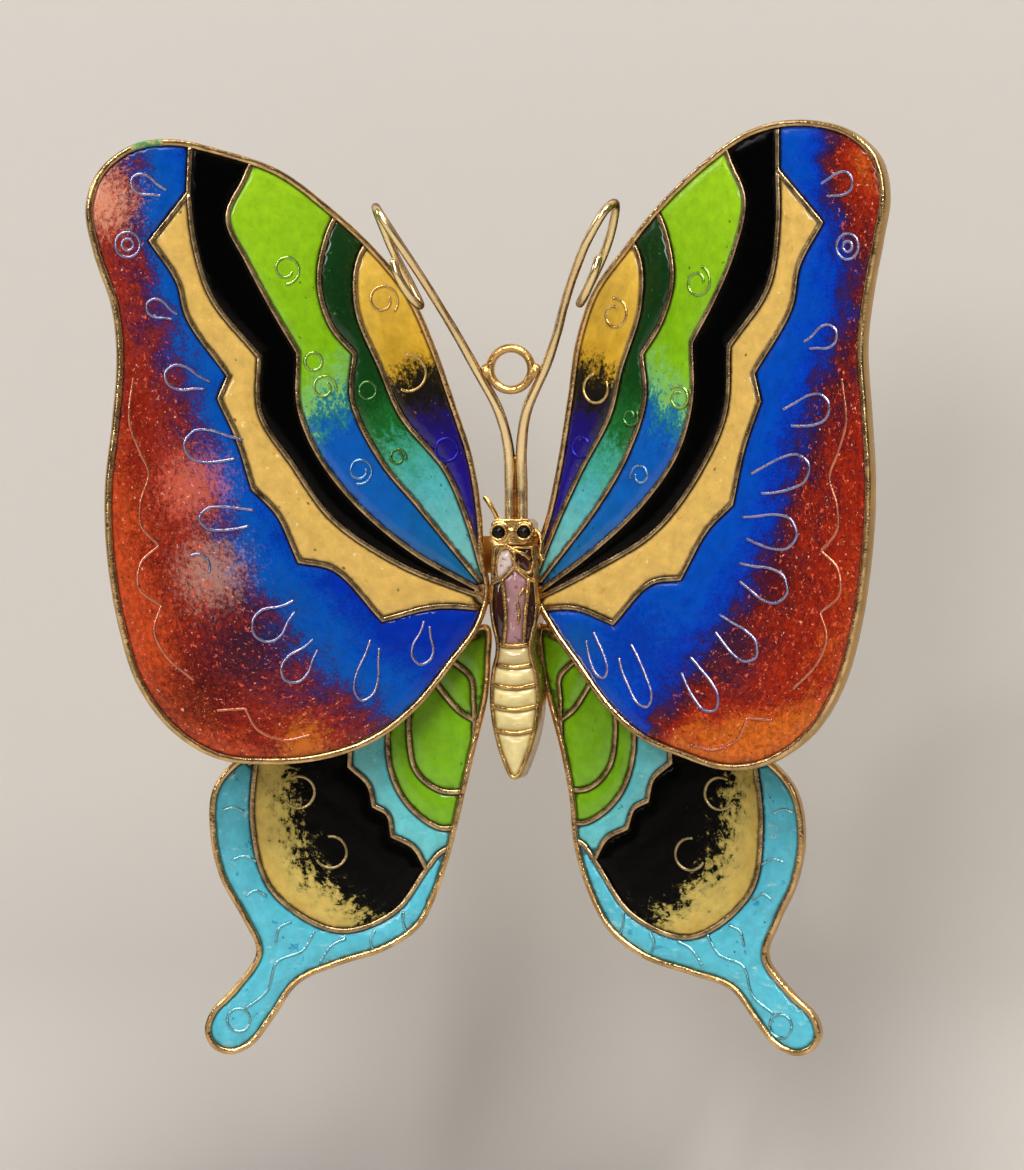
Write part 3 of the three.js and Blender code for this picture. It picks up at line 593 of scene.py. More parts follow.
def enamel(name, stops, drift=0.0, grain=0.0, specks=(), pits=0.0, rough=0.2, seed=0, streak=None,
           edge=0.75, coat=0.18, bump=0.14, fine=3.2, speck_from=None, spec=0.36, mottle=0.0,
           clouds=()):
    """Glass whose colour follows the fade attribute through stops of (fade, colour), broken by
    drift (wide) and grain (fine) in the unit of the fade; specks are (colour, amount, scale) and
    clouds are (u, v, reach, colour, amount); edge sets the painted shade next to the wires and rim."""
    mat, tree, shade = surface(name, in_Coat_Weight=coat, in_Coat_Roughness=0.06,
                               in_Specular_IOR_Level=spec)
    where = node(tree, "ShaderNodeAttribute", attribute_name="plane").outputs["Vector"]
    fade = node(tree, "ShaderNodeAttribute", attribute_name="fade").outputs["Fac"]
    value = fade
    if drift:
        wide = socket_noise(tree, where, 0.55, 2, 0.6, (seed, 0, 0))
        value = maths(tree, "MULTIPLY_ADD", wide, drift, value)
    if grain:
        small = socket_noise(tree, where, fine, 4, 0.75, (0, seed, 3))
        value = maths(tree, "MULTIPLY_ADD", small, grain, value)
    low, high = stops[0][0], stops[-1][0]
    span = maths(tree, "DIVIDE", maths(tree, "SUBTRACT", value, low), max(high - low, 1e-6), clamp=True)
    ramp = node(tree, "ShaderNodeValToRGB")
    ramp.color_ramp.elements[0].position = 0
    ramp.color_ramp.elements[0].color = (*srgb(*stops[0][1]), 1)
    ramp.color_ramp.elements[1].position = 1
    ramp.color_ramp.elements[1].color = (*srgb(*stops[-1][1]), 1)
    for at, colour in stops[1:-1]:
        stop = ramp.color_ramp.elements.new((at - low) / (high - low))
        stop.color = (*srgb(*colour), 1)
    link(tree, span, ramp.inputs[0])
    colour = ramp.outputs[0]
    cloud = socket_noise(tree, where, 1.1, 3, 0.6, (seed, 5, 1))
    haze = maths(tree, "MULTIPLY_ADD", cloud, 0.12, 0.12, clamp=True)
    colour = mix_colour(tree, haze, colour, (0, 0, 0))
    if mottle:
        patch = socket_noise(tree, where, 2.4, 4, 0.7, (seed, 9, 4))
        patch = maths(tree, "MULTIPLY_ADD", patch, mottle, mottle * 0.5, clamp=True)
        if speck_from is not None:
            patch = maths(tree, "MULTIPLY", patch, step_at(tree, fade, speck_from, speck_from + 1.6))
        colour = mix_colour(tree, patch, colour, (0.012, 0.002, 0.004))
    for i, (u, v, reach, tint, amount) in enumerate(clouds):
        ragged = cloud_at(tree, where, u, v, reach, (seed, 4 + i, 6))
        on = step_at(tree, ragged, 0.1 * reach, reach, amount, 0.0)
        colour = mix_colour(tree, on, colour, srgb(*tint))
    for i, (tint, amount, scale) in enumerate(specks):
        dots = socket_noise(tree, where, scale, 3, 0.7, (3 * i + seed, 7 + i, 0))
        on = step_at(tree, dots, 0.9 - amount, 1.25 - amount)
        if speck_from is not None:
            on = maths(tree, "MULTIPLY", on, step_at(tree, fade, speck_from, speck_from + 1.2))
        colour = mix_colour(tree, on, colour, srgb(*tint))
    if streak:
        tint, turn, stretch, amount = streak
        lines = socket_noise(tree, where, 1.0, 3, 0.6, (seed, 1, 0), stretch, turn)
        colour = mix_colour(tree, step_at(tree, lines, 0.5 - amount, 1.4 - amount), colour, srgb(*tint))
    if pits:
        cells = node(tree, "ShaderNodeTexVoronoi", in_Scale=0.62)
        link(tree, where, cells.inputs["Vector"])
        hole = step_at(tree, cells.outputs["Distance"], 0.03 + pits * 0.03, 0.06 + pits * 0.07, 1.0, 0.0)
        colour = mix_colour(tree, maths(tree, "MULTIPLY", hole, 0.75), colour, (0.02, 0.015, 0.01))
    # Painted shade: each cell's glass darkens towards its wires and rim, by its distance to the cell border.
    parts = node(tree, "ShaderNodeSeparateXYZ")
    link(tree, where, parts.inputs[0])
    border = step_at(tree, parts.outputs["Z"], 0.02, 0.24, edge, 0.0)
    colour = mix_colour(tree, border, colour, (0.012, 0.009, 0.007))
    link(tree, colour, shade.inputs["Base Color"])
    shine = socket_noise(tree, where, 1.7, 3, 0.6, (seed, 2, 2))
    link(tree, maths(tree, "MULTIPLY_ADD", shine, 0.07, rough, clamp=True), shade.inputs["Roughness"])
    ripple = node(tree, "ShaderNodeBump", in_Strength=bump, in_Distance=0.00004)
    relief = maths(tree, "MULTIPLY_ADD", socket_noise(tree, where, 3.0, 2, 0.5, (1, seed, 0)), 0.15,
                   socket_noise(tree, where, 0.9, 1, 0.4, (4, seed, 0)))
    link(tree, relief, ripple.inputs["Height"])
    link(tree, ripple.outputs[0], shade.inputs["Normal"])
    return mat


def metal(name, colour, dark, rough=0.27, tarnish=0.4, fine=900, depth=0.00003, painted_shade_heights=None):
    """Gilt metal with darker tarnish in patches, painted shade on parts lower than a given height, and a
    worked surface.
    """
    mat, tree, shade = surface(name, in_Metallic=1.0)
    where = node(tree, "ShaderNodeTexCoord").outputs["Object"]
    patch = socket_noise(tree, where, fine * 0.6, 3, 0.65)
    tarnish_and_shade = maths(tree, "MULTIPLY_ADD", patch, tarnish * 0.6, tarnish * 0.5, clamp=True)
    # Painted shade: the low sides of rims and wires go dark, on top of the tarnish patches.
    if painted_shade_heights:
        plane = node(tree, "ShaderNodeAttribute", attribute_name="plane").outputs["Vector"]
        parts = node(tree, "ShaderNodeSeparateXYZ")
        link(tree, plane, parts.inputs[0])
        tarnish_and_shade = maths(tree, "MAXIMUM", tarnish_and_shade, step_at(tree, parts.outputs["Z"], *painted_shade_heights, 1.0, 0.0))
    link(tree, mix_colour(tree, tarnish_and_shade, srgb(*colour), srgb(*dark)), shade.inputs["Base Color"])
    wear = socket_noise(tree, where, fine, 3, 0.6, (1, 2, 3))
    link(tree, maths(tree, "MULTIPLY_ADD", wear, 0.10, rough, clamp=True), shade.inputs["Roughness"])
    bump = node(tree, "ShaderNodeBump", in_Strength=0.45, in_Distance=depth)
    link(tree, socket_noise(tree, where, fine * 1.6, 3, 0.55, (5, 0, 0)), bump.inputs["Height"])
    link(tree, bump.outputs[0], shade.inputs["Normal"])
    return mat


gilt = metal("gilt", (222, 178, 112), (96, 66, 34))
# The rim and wire metals carry painted shade low on their sides.
gilt_rim = metal("gilt_rim", (240, 200, 142), (70, 36, 18), 0.2, 0.55, 1100, painted_shade_heights=(-0.25, 0.09))
gilt_wire = metal("gilt_wire", (214, 184, 138), (60, 42, 26), 0.28, 0.75, 1200, painted_shade_heights=(0.0, 0.045))
gilt_back = metal("gilt_back", (205, 165, 105), (110, 80, 45), 0.36, 0.4, 350, 0.00006)
gilt_finding = metal("gilt_finding", (226, 184, 120), (120, 90, 52), 0.22, 0.25, 500, 0.00001)

# ---- forewings ----
OUTER_EDGE = {
    -1: [(24.9, 32.9), (24.9, 30.9), (23.4, 20.7), (20.8, 12.8), (19.1, 5.9), (16.8, 0.5),
         (11.4, -5.8), (6.6, -8.6)],
    1: [(26, 32), (26, 30), (26.0, 24.7), (26.4, 20.2), (23.5, 13.7), (21.3, 7.2), (18.2, 0.6), (13.4, -4.7),
        (10.3, -8.2)]}


def from_root(p):
    """Distance from the root of the wing."""
    return np.hypot(p[:, 0], p[:, 1])


def outer_fade(side):
    """Distance outward from the blue to red border, less where the photo's red reaches further in."""
    line = smooth(OUTER_EDGE[side], 6)

    def fade(p):
        s = left_of(p, line)
        if side > 0:
            corner = np.hypot(p[:, 0] - 26.5, p[:, 1] - 29)
            low = np.clip(-6.4 - p[:, 1], 0, 2.4) * np.clip(s - 0.8, 0, 1)
            slow = np.where(s > 1.3, 1.3 + 0.42 * (s - 1.3), s)
            return slow + 1.5 * low + 3 * np.exp(-(corner / 3.2) ** 2)
        murk = np.exp(-((p[:, 0] - 16.5) ** 2 + (p[:, 1] + 4) ** 2) / 30)
        return s * (1 - 0.6 * murk) + 0.15 * murk
    return fade


BLUE_RED = {
    -1: [(-5, (0, 44, 168)), (-2.6, (0, 78, 182)), (-1.2, (6, 84, 176)), (-0.3, (34, 44, 124)),
         (0.3, (80, 32, 70)), (1.2, (128, 40, 48)), (2.4, (160, 46, 26)), (4.2, (138, 32, 18)),
         (6.6, (204, 78, 34))],
    1: [(-3.4, (0, 74, 186)), (-1.4, (0, 52, 182)), (-0.4, (22, 30, 104)), (0.3, (66, 26, 58)),
        (1.2, (104, 28, 28)), (2.0, (152, 36, 16)), (3.6, (168, 42, 16)), (6.0, (218, 108, 30))]}
# A cloud is (u, v, reach, colour, amount): a patch of another colour in the outer field; the orange cloud low
# on the left wing is a painted glint
CLOUDS = {
    -1: [(26.9, 27.4, 3.0, (232, 160, 130), 0.7), (20.9, 8.1, 3.4, (222, 112, 90), 0.6),
         (19.6, 2.2, 3.4, (190, 146, 134), 0.62), (17.6, -2.9, 4.6, (34, 20, 40), 0.8),
         # painted glint: the orange cloud at (13.2, -9.8)
         (20.9, -6.4, 4.2, (54, 10, 12), 0.66), (13.2, -9.8, 2.4, (206, 116, 30), 0.7)],
    1: [(16.6, -3.7, 3.2, (40, 22, 48), 0.72), (8.6, -3.0, 4.6, (0, 32, 148), 0.6),
        (4.2, -2.8, 2.4, (16, 82, 128), 0.5), (20.2, 1.6, 2.8, (66, 14, 22), 0.6)]}
VIOLET = [
    (9, (30, 14, 130)), (12.4, (26, 14, 108)), (13.8, (34, 22, 52)), (14.8, (18, 16, 10)),
    (16.4, (34, 28, 12)), (17.6, (216, 170, 46)), (26, (232, 192, 84))]
FORE_GLASS = {
    "outer_blue_red": ("cobalt_red_enamel", outer_fade, dict(
        stops=BLUE_RED, drift=0.9, grain=1.5, edge=0.8, fine=5.5,
        specks=[((206, 84, 56), 0.38, 2.2), ((236, 168, 140), 0.2, 2.9), ((24, 8, 18), 0.16, 2.8)],
        speck_from=-0.7, mottle=0.42, clouds=CLOUDS, coat=0.08, spec=0.22)),
    "cream_band": ("cream_enamel", None, dict(
        stops=[(0, (222, 182, 96)), (1, (228, 190, 106))],
        specks=[((200, 150, 66), 0.2, 0.8), ((240, 216, 158), 0.12, 1.2)],
        pits=0.75, rough=0.24)),
    "black_band": ("black_enamel", None, dict(
        stops=[(0, (2, 2, 2)), (1, (2, 2, 2))], rough=0.16, bump=0.04, coat=0.02, spec=0.08)),
    "lime_blue_band": ("lime_enamel", from_root, dict(
        stops=[(2, (14, 100, 146)), (10, (6, 92, 178)), (15.8, (4, 86, 182)), (17.4, (36, 124, 128)),
               (18.4, (126, 190, 110)), (20.2, (124, 182, 14)), (34, (152, 202, 28))],
        drift=0.9, grain=1.5,
        specks=[((60, 110, 30), 0.04, 1.8)], pits=0.35)),
    "dark_green_band": ("dark_green_enamel", from_root, dict(
        stops=[(3, (120, 196, 196)), (9, (78, 176, 184)), (11.6, (62, 160, 132)), (13.6, (26, 104, 42)),
               (17, (12, 66, 18)), (23, (10, 50, 14)), (30, (14, 56, 18))],
        drift=0.8, grain=1.5, specks=[((58, 112, 44), 0.12, 1.2)], pits=0.3)),
    "amber_violet_band": ("amber_violet_enamel", from_root, dict(
        stops=VIOLET, drift=0.8, grain=1.1, specks=[((150, 110, 50), 0.05, 1.8)], pits=0.3))}

PLATE_INSET = 0.5
# Profiles are (offset across the line, height above the face of the glass)
RIM_PROFILE = [
    (-PLATE_INSET, TRAY_BACK), (-0.3, TRAY_BACK + 0.09), (-0.14, TRAY_BACK + 0.3), (-0.04, -0.6),
    (0, -0.35), (0, -0.02), (-0.03, 0.06), (-0.10, 0.108), (-0.21, RIM_TOP), (-0.32, 0.105),
    (-0.39, 0.055), (-0.42, -0.02), (-0.42, -0.35)]
WIRE_PROFILE = [
    (-0.17, -0.4), (-0.17, -0.03), (-0.145, 0.022), (-0.08, 0.046), (0, WIRE_TOP), (0.08, 0.046),
    (0.145, 0.022), (0.17, -0.03), (0.17, -0.4)]
SCROLL_PROFILE = [
    (-0.12, -0.08), (-0.10, 0.03), (-0.055, 0.075), (0, 0.09), (0.055, 0.075), (0.10, 0.03), (0.12, -0.08)]


def build_tray(name, outer, place, side):
    """A plate with a raised rim, and the bright lip that wear leaves on the rim, with painted shade down the
    lip's sides.
    """
    shape = Shape(place)
    shape.sweep(outer, RIM_PROFILE[::-1], closed=True, rough=0.006, seed=3)
    plate = sidestep(outer, -PLATE_INSET, True)
    points, groups = fill_cells(plate, [], 0, [], 0.75, 5)
    flat, faces, border, gap = take(points, max(groups, key=len))
    dent = 0.05 * wave(flat, 0.5, 9) * (1 - np.exp(-(gap / 0.8) ** 2))
    shape.add(np.c_[flat, TRAY_BACK + dent], [tuple(reversed(f)) for f in faces])
    shape.make("look_" + name, gilt_back, [name], "gilt_metal", flip=side < 0)
    lip = Shape(place)
    proud = [(a + (0.008 if a > -0.2 else -0.008), h + 0.004) for a, h in RIM_PROFILE[:4:-1]]
    lip.sweep(outer, proud, closed=True, rough=0.012, seed=8)
    lip.make("look_" + name + "_lip", gilt_rim, [], "gilt_metal", flip=side < 0)


def build_wing(side, kind, spec):
    """Enamels, wires and tray of one wing; returns its place function."""
    hand = "left" if side < 0 else "right"
    base = f"{hand}_{kind}_"
    place = wing_place(side, spec["lift"], spec["face"])
    bend = lambda pts: nudge(pts, spec["nudges"], side)
    outer = evenly(smooth(bend(spec["outline"]), 12, True), 0.22, True)
    lines = [run_line([bend(run) for run in runs]) for runs in spec["wires"]]
    rim = sidestep(outer, -RIM_WIDTH + 0.03, True)
    points, groups = fill_cells(rim, lines, WIRE_HALF - 0.02, spec["plug"], 0.30, 11 + side)
    for field, seed in spec["seeds"].items():
        slot, fade, settings = spec["glass"][field]
        part = take(points, group_at(points, groups, seed))
        flat, faces, border, gap = part
        height = -0.10 + 0.125 * (1 - np.exp(-(gap / 0.38) ** 2)) + 0.008 * wave(flat, 0.6, 3)
        key = base + field
        if fade is outer_fade:
            fade = outer_fade(side)
        settings = {k: value[side] if isinstance(value, dict) else value for k, value in settings.items()}
        glass = enamel(key + "_glass", seed=side * 7 + len(field), **settings)
        lens(key, part, height, TRAY_FLOOR + 0.03, place, side < 0, glass, slot, fade)
    net = Shape(place)
    for i, line in enumerate(lines):
        clip = line[inside(line, sidestep(outer, -0.2, True))]
        if len(clip) > 1:
            net.sweep(evenly(clip, 0.25), [(a, h + 0.0015 * i) for a, h in WIRE_PROFILE], rough=0.008, seed=i)
    for u, v, r in spec["plug"]:
        turn = full_turn(40)
        ring = np.c_[np.cos(turn), np.sin(turn)]
        rows = [np.c_[u + r * k * ring[:, 0], v + r * k * ring[:, 1], h + 0.02 * wave(ring * k * 2, 1.5, 4)]
                for k, h in ((1, -0.4), (1, -0.04), (0.8, 0.02), (0.45, 0.05), (0.05, 0.06))]
        net.add(np.vstack(rows), quads(len(rows), len(turn)))
    net.make("look_" + base + "wires", gilt_wire, [base + "wires"], "gilt_metal", flip=side < 0)
    build_tray(base + "tray", outer, place, side)
    return place


fore = dict(outline=FORE_OUTLINE, wires=FORE_WIRES, seeds=FORE_FIELDS, nudges=FORE_NUDGES, lift=FORE_LIFT,
            face=FORE_FACE_Y, plug=[PLUG], glass=FORE_GLASS)

# ---- hindwings ----
SPOT_EDGE = smooth(HIND_WIRES[4][0], 6)


def spot_fade(p):
    """Distance from the outer edge of the eyespot; the light crescent is widest low on the outside."""
    inward = np.clip(11.6 - p[:, 0], 0, 9)
    return np.abs(left_of(p, SPOT_EDGE)) + 0.9 * inward + 0.2 * np.clip(p[:, 1] + 17, 0, 9)


GREEN = dict(stops=[(0, (118, 176, 20)), (1, (124, 182, 26))],
             specks=[((96, 152, 14), 0.2, 1.1), ((146, 196, 60), 0.0, 2.0)], pits=0.6, rough=0.2)
HIND_GLASS = {
    "root_green": ("lime_enamel", None, GREEN), "small_green": ("lime_enamel", None, GREEN),
    "large_green": ("lime_enamel", None, GREEN), "green_crescent": ("lime_enamel", None, GREEN),
    "inner_turquoise": ("turquoise_enamel", None, dict(
        stops=[(0, (104, 200, 208)), (1, (112, 206, 214))], streak=((160, 206, 200), 0.9, (0.6, 1.8, 1), 0.1),
        specks=[((52, 136, 150), 0.12, 1.4)], pits=0.2)),
    "tail_turquoise": ("turquoise_enamel", None, dict(
        stops=[(0, (88, 194, 218)), (1, (96, 200, 222))], streak=((158, 206, 208), 0.6, (0.5, 1.6, 1), 0.1),
        specks=[((48, 146, 184), 0.25, 0.9)], pits=0.15)),
    "eyespot": ("black_enamel", spot_fade, dict(
        stops=[(0, (214, 180, 92)), (1.9, (202, 180, 100)), (2.9, (158, 144, 76)), (3.3, (28, 24, 14)),
               (4.2, (3, 3, 2)), (12, (2, 2, 2))],
        drift=0.5, grain=1.7, fine=1.7, pits=0.5, rough=0.16, bump=0.04, coat=0.02, spec=0.08))}
hind = dict(outline=HIND_OUTLINE, wires=HIND_WIRES, seeds=HIND_FIELDS, nudges=HIND_NUDGES, lift=HIND_LIFT,
            face=HIND_FACE_Y, plug=[], glass=HIND_GLASS)

# ---- fine wires laid in the glass ----
# A loop is (u, v of its head, length, width, angle of the head from the u axis, how far it closes)
LOOPS = {
    -1: [(24.9, 28.9, 2.5, 1.3, 22, 0.2), (23.9, 20.5, 2.2, 1.2, 25, 0.2), (22.7, 15.8, 3.2, 1.6, 16, 0.2),
         (21.4, 11.0, 4.0, 2.2, 6, 0.5), (20.4, 5.9, 3.8, 1.6, 0, 0.6), (16.6, -2.1, 3.6, 2.2, -35, 0.1),
         (14.5, -5.2, 3.4, 1.8, -48, 0.2), (9.1, -6.7, 4.2, 1.6, -76, 0.3), (4.9, -4.3, 3.0, 1.5, -80, 0.1)],
    1: [(26.3, 28.0, 2.4, 1.5, 15, 0.5), (25.0, 18.0, 2.6, 1.5, 20, 0.2), (24.4, 13.2, 3.6, 2.0, 14, 0.5),
        (22.8, 9.2, 4.6, 2.2, 16, 0.6), (21.8, 4.6, 4.4, 2.3, -6, 0.5), (21.0, 0.7, 4.2, 2.2, -20, 0.4),
        (18.5, -3.6, 4.0, 1.9, -36, 0.5), (15.2, -7.2, 4.0, 1.8, -52, 0.6), (9.7, -7.1, 4.4, 1.6, -64, 0.8),
        (6.1, -5.2, 3.2, 1.2, -68, 0.6)]}
# A curl is (u, v, radius, turns, start angle)
CURLS = {
    -1: {"outer": [(25.2, 24.5, 0.85, 1.0, 0), (25.2, 24.5, 0.4, 1.0, 60), (20.6, 2.6, 0.9, 0.4, 60)],
         "lime": [(14.2, 22.9, 1.05, 1.2, 200), (11.6, 14.8, 0.9, 1.2, 120), (12.3, 16.6, 0.6, 1.0, 30)],
         "blue": [(9.1, 9.1, 0.95, 1.35, 160)],
         "green": [(8.5, 14.6, 0.6, 1.0, 0), (6.4, 10.0, 0.62, 1.3, 90)],
         "amber": [(7.4, 20.8, 1.15, 1.2, 150), (5.6, 15.8, 1.25, 0.6, 80)],
         "violet": [(2.9, 10.5, 0.8, 1.0, 20)]},
    1: {"outer": [(25.9, 23.6, 0.85, 1.0, 0), (25.9, 23.6, 0.35, 1.0, 60)],
        "lime": [(14.0, 21.6, 1.1, 1.2, 0), (12.4, 13.8, 0.9, 1.2, 60)],
        "blue": [(9.2, 8.6, 0.8, 1.1, 160)],
        "green": [(8.4, 12.6, 0.7, 1.1, 0)],
        "amber": [(7.2, 19.6, 1.15, 1.1, 60), (5.6, 14.6, 1.0, 0.8, 100)],
        "violet": [(4.3, 10.6, 0.7, 0.8, 20)]}}
SCALLOPS = [
    [(24.9, 15.5), (25.2, 12.6), (24.5, 10.5), (23.9, 9), (24.5, 7), (24.4, 5.4), (23.2, 4.1)],
    [(23.2, 4.1), (24.5, 2.9), (24.6, 1.2), (23.1, 0)],
    [(23.1, 0), (23.6, -1.6), (22.8, -3.4), (20.9, -5.1)],
    [(19.3, -7.2), (17.3, -7.1)], [(17.3, -7.1), (16.4, -8.6), (14.6, -9.3), (12.7, -9)]]
SCALLOP_SHIFT = {-1: (0, 0), 1: (0.5, -0.6)}
HIND_CURLS = [(13.6, -13.2, 1.1, 0.75, 60), (11.4, -17.4, 1.1, 0.7, 80), (17.9, -29, 0.8, 1.0, 0)]
HIND_LINES = [
    [(17.4, -14.5), (18.2, -14.2), (18.9, -14.4)], [(16.6, -18), (17.4, -17.6), (18.2, -17.8)],
    [(15.9, -20.4), (16.7, -20), (17.3, -20.4)], [(14.2, -22.2), (15, -22.6), (15.3, -23.6)],
    [(12.6, -22.9), (13.4, -24.2), (15.2, -25), (15.9, -27), (17.4, -28.2)],
    [(10.4, -23.4), (11.4, -23.9), (12.2, -25)], [(8.4, -22.9), (8.7, -23.6), (8.5, -24.2)],
    [(6.4, -21.6), (6.4, -22.4), (6.1, -23.1)]]


def loop_line(u, v, length, width, angle, open_share):
    """A drawn-out loop: round head at (u, v), two tails that run back from it."""
    a = math.radians(angle)
    tail = width * (0.12 + 0.36 * open_share)
    pts = np.array([
        (-1, tail), (-0.75, tail + 0.08 * width), (-0.4, 0.5 * width), (-0.14, 0.42 * width), (0, 0),
        (-0.14, -0.42 * width), (-0.4, -0.5 * width), (-0.7, -tail - 0.1 * width), (-0.9, -tail)])
    along, across = pts[:, 0] * length, pts[:, 1]
    return smooth(np.c_[u + along * math.cos(a) - across * math.sin(a),
                        v + along * math.sin(a) + across * math.cos(a)], 8)


def curl_line(u, v, radius, turns, start):
    """An arc, or a spiral that opens from the middle when it makes more than one turn."""
    n = int(24 * turns) + 4
    t = np.linspace(0, turns * 2 * math.pi, n) + math.radians(start)
    r = radius * np.where(turns > 1.05, np.linspace(0.45, 1, n), 1.0)
    return np.c_[u + r * np.cos(t), v + r * np.sin(t)]


def fine_wires(name, lines, place, side, colour, dark):
    """Thin wires lying in the glass, as one piece."""
    mat = metal(name + "_wire", colour, dark, 0.3, 0.5, 1500)
    shape = Shape(place)
    for i, line in enumerate(lines):
        line = evenly(np.asarray(line, float), 0.1)
        shape.sweep(line, [(a, h + 0.018) for a, h in SCROLL_PROFILE], rough=0.014, seed=i)
    shape.make("look_" + name, mat, [], "gilt_metal", flip=side < 0)


SCROLL_TINTS = {"outer": ((176, 168, 196), (60, 90, 180)), "lime": ((176, 208, 116), (96, 150, 40)),
                "blue": ((126, 170, 214), (30, 90, 170)), "green": ((96, 150, 84), (30, 80, 40)),
                "amber": ((232, 200, 130), (150, 104, 44)), "violet": ((60, 56, 200), (30, 20, 120))}
for hand_side, hand in ((-1, "left"), (1, "right")):
    spot = build_wing(hand_side, "forewing", fore)
    for tint, curls in CURLS[hand_side].items():
        lines = [curl_line(*c) for c in curls]
        if tint == "outer":
            lines += [loop_line(*c) for c in LOOPS[hand_side]]
        fine_wires(f"{hand}_scrolls_{tint}", lines, spot, hand_side, *SCROLL_TINTS[tint])
    drop = [smooth(np.array(run) + SCALLOP_SHIFT[hand_side], 8) for run in SCALLOPS]
    fine_wires(f"{hand}_scallops", drop, spot, hand_side, (236, 150, 120), (150, 60, 40))
    spot = build_wing(hand_side, "hindwing", hind)
    fine_wires(f"{hand}_spot_curls", [curl_line(*c) for c in HIND_CURLS[:2]], spot, hand_side,
               (190, 170, 120), (70, 56, 34))
    tail = [smooth(run, 8) for run in HIND_LINES] + [curl_line(*HIND_CURLS[2])]
    fine_wires(f"{hand}_tail_lines", tail, spot, hand_side, (150, 206, 214), (60, 140, 170))

# ---- green copper bloom on the upper rim of the left forewing ----
BLOOM_LOW, BLOOM_HIGH, BLOOM_ABOVE = 22.7, 25.1, 26
BLOOM_GROW, BLOOM_LIFT, RIM_MIDDLE = 1.08, 0.022, -0.21
bloom, bloom_tree, bloom_shade = surface("copper_bloom", in_Roughness=0.75)
bloom_where = node(bloom_tree, "ShaderNodeTexCoord").outputs["Object"]
bloom_patch = step_at(bloom_tree, socket_noise(bloom_tree, bloom_where, 1500, 3, 0.7), -0.6, 0.6)
link(bloom_tree, mix_colour(bloom_tree, bloom_patch, srgb(168, 160, 104), srgb(58, 132, 78)),
     bloom_shade.inputs["Base Color"])
rim_line = evenly(smooth(nudge(FORE_OUTLINE, FORE_NUDGES, -1), 12, True), 0.12, True)
u, v = rim_line.T
rim_run = rim_line[(u > BLOOM_LOW) & (u < BLOOM_HIGH) & (v > BLOOM_ABOVE)]
crust = Shape(wing_place(-1, FORE_LIFT, FORE_FACE_Y))
swollen = [(RIM_MIDDLE + (a - RIM_MIDDLE) * BLOOM_GROW, h + BLOOM_LIFT) for a, h in RIM_PROFILE[:3:-1]]
crust.sweep(rim_run, swollen, rough=0.02, seed=4)
crust.make("look_left_rim_bloom", bloom, [], "gilt_metal", flip=True)

# ---- solder posts between the hindwings and the forewings ----
SOLDER_U, SOLDER_V, SOLDER_RADIUS = 13.6, -9.4, 0.7
SOLDER_WAIST = [(0, 1.1), (0.12, 0.86), (0.3, 0.72), (0.6, 0.68), (0.85, 0.8), (1, 1.05)]


def wing_axes(side, lift, face_y):
    """Root, outward axis, upward axis and front axis of a wing."""
    c, s = math.cos(math.radians(lift)), math.sin(math.radians(lift))
    return np.array([(side * ROOT_X, face_y, 0), (side * c, -s, 0), (0, 0, 1), (-side * s, -c, 0)])


for hand_side, hand in ((-1, "left"), (1, "right")):
    origin, across, up, out = wing_axes(hand_side, HIND_LIFT, HIND_FACE_Y)
    fore_origin, _, _, fore_out = wing_axes(hand_side, FORE_LIFT, FORE_FACE_Y)
    turn = full_turn(24)
    rows = []
    for share, radius in SOLDER_WAIST:
        ring = np.c_[SOLDER_U + SOLDER_RADIUS * radius * np.cos(turn),
                     SOLDER_V + SOLDER_RADIUS * radius * np.sin(turn)]
        foot = origin + ring[:, :1] * across + ring[:, 1:] * up
        reach = ((TRAY_BACK - 0.01) - (foot - fore_origin) @ fore_out) / (out @ fore_out)
        rows.append(np.c_[ring, -0.1 + share * (reach + 0.1)])
    post = Shape(wing_place(hand_side, HIND_LIFT, HIND_FACE_Y))
    post.add(np.vstack(rows), quads(len(rows), len(turn)))
    post.make(f"look_{hand}_hindwing_solder", gilt_back, [], "gilt_metal", flip=hand_side < 0)

# ---- body ----
BODY_X, BODY_FRONT, BODY_BACK = 0.55, 2.9, 0.3
BODY_WIRE_SCALE, THORAX_WIRE_SCALE = 0.78, 1.1
CELL_DEPTH, BODY_RIM, BODY_WIRE_HALF = 1.9, 0.28, 0.13
BODY_HALF = [
    (1.45, 3.9), (1.6, 2.6), (1.66, 1.2), (1.75, -0.2), (1.6, -1.6), (1.32, -2.8), (1.34, -3.6),
    (1.62, -4.7), (1.78, -6.2), (1.7, -7.8), (1.42, -9.3), (0.95, -10.8), (0.25, -12.2)]
BODY_WIRES = [
    [(0.1, 4.4), (0.12, 2.4)],
    [(0.12, 2.4), (-0.8, 1.6), (-2, 1.1)],
    [(0.12, 2.4), (1.1, 1.6), (2, 1.2)],
    [(-0.8, 1.6), (-0.62, 0.2), (-0.55, -1.4), (-0.7, -3)],
    [(1.1, 1.6), (0.95, 0.2), (0.8, -1.4), (0.7, -3)],
    [(-2, -2.8), (0, -3.05), (2, -2.8)],
    [(-2, -4.2), (0, -4.5), (2, -4.2)],
    [(-2, -5.6), (0, -5.95), (2, -5.6)],
    [(-2, -7.1), (0, -7.45), (2, -7.1)],
    [(-2, -8.7), (0, -9.05), (2, -8.7)]]
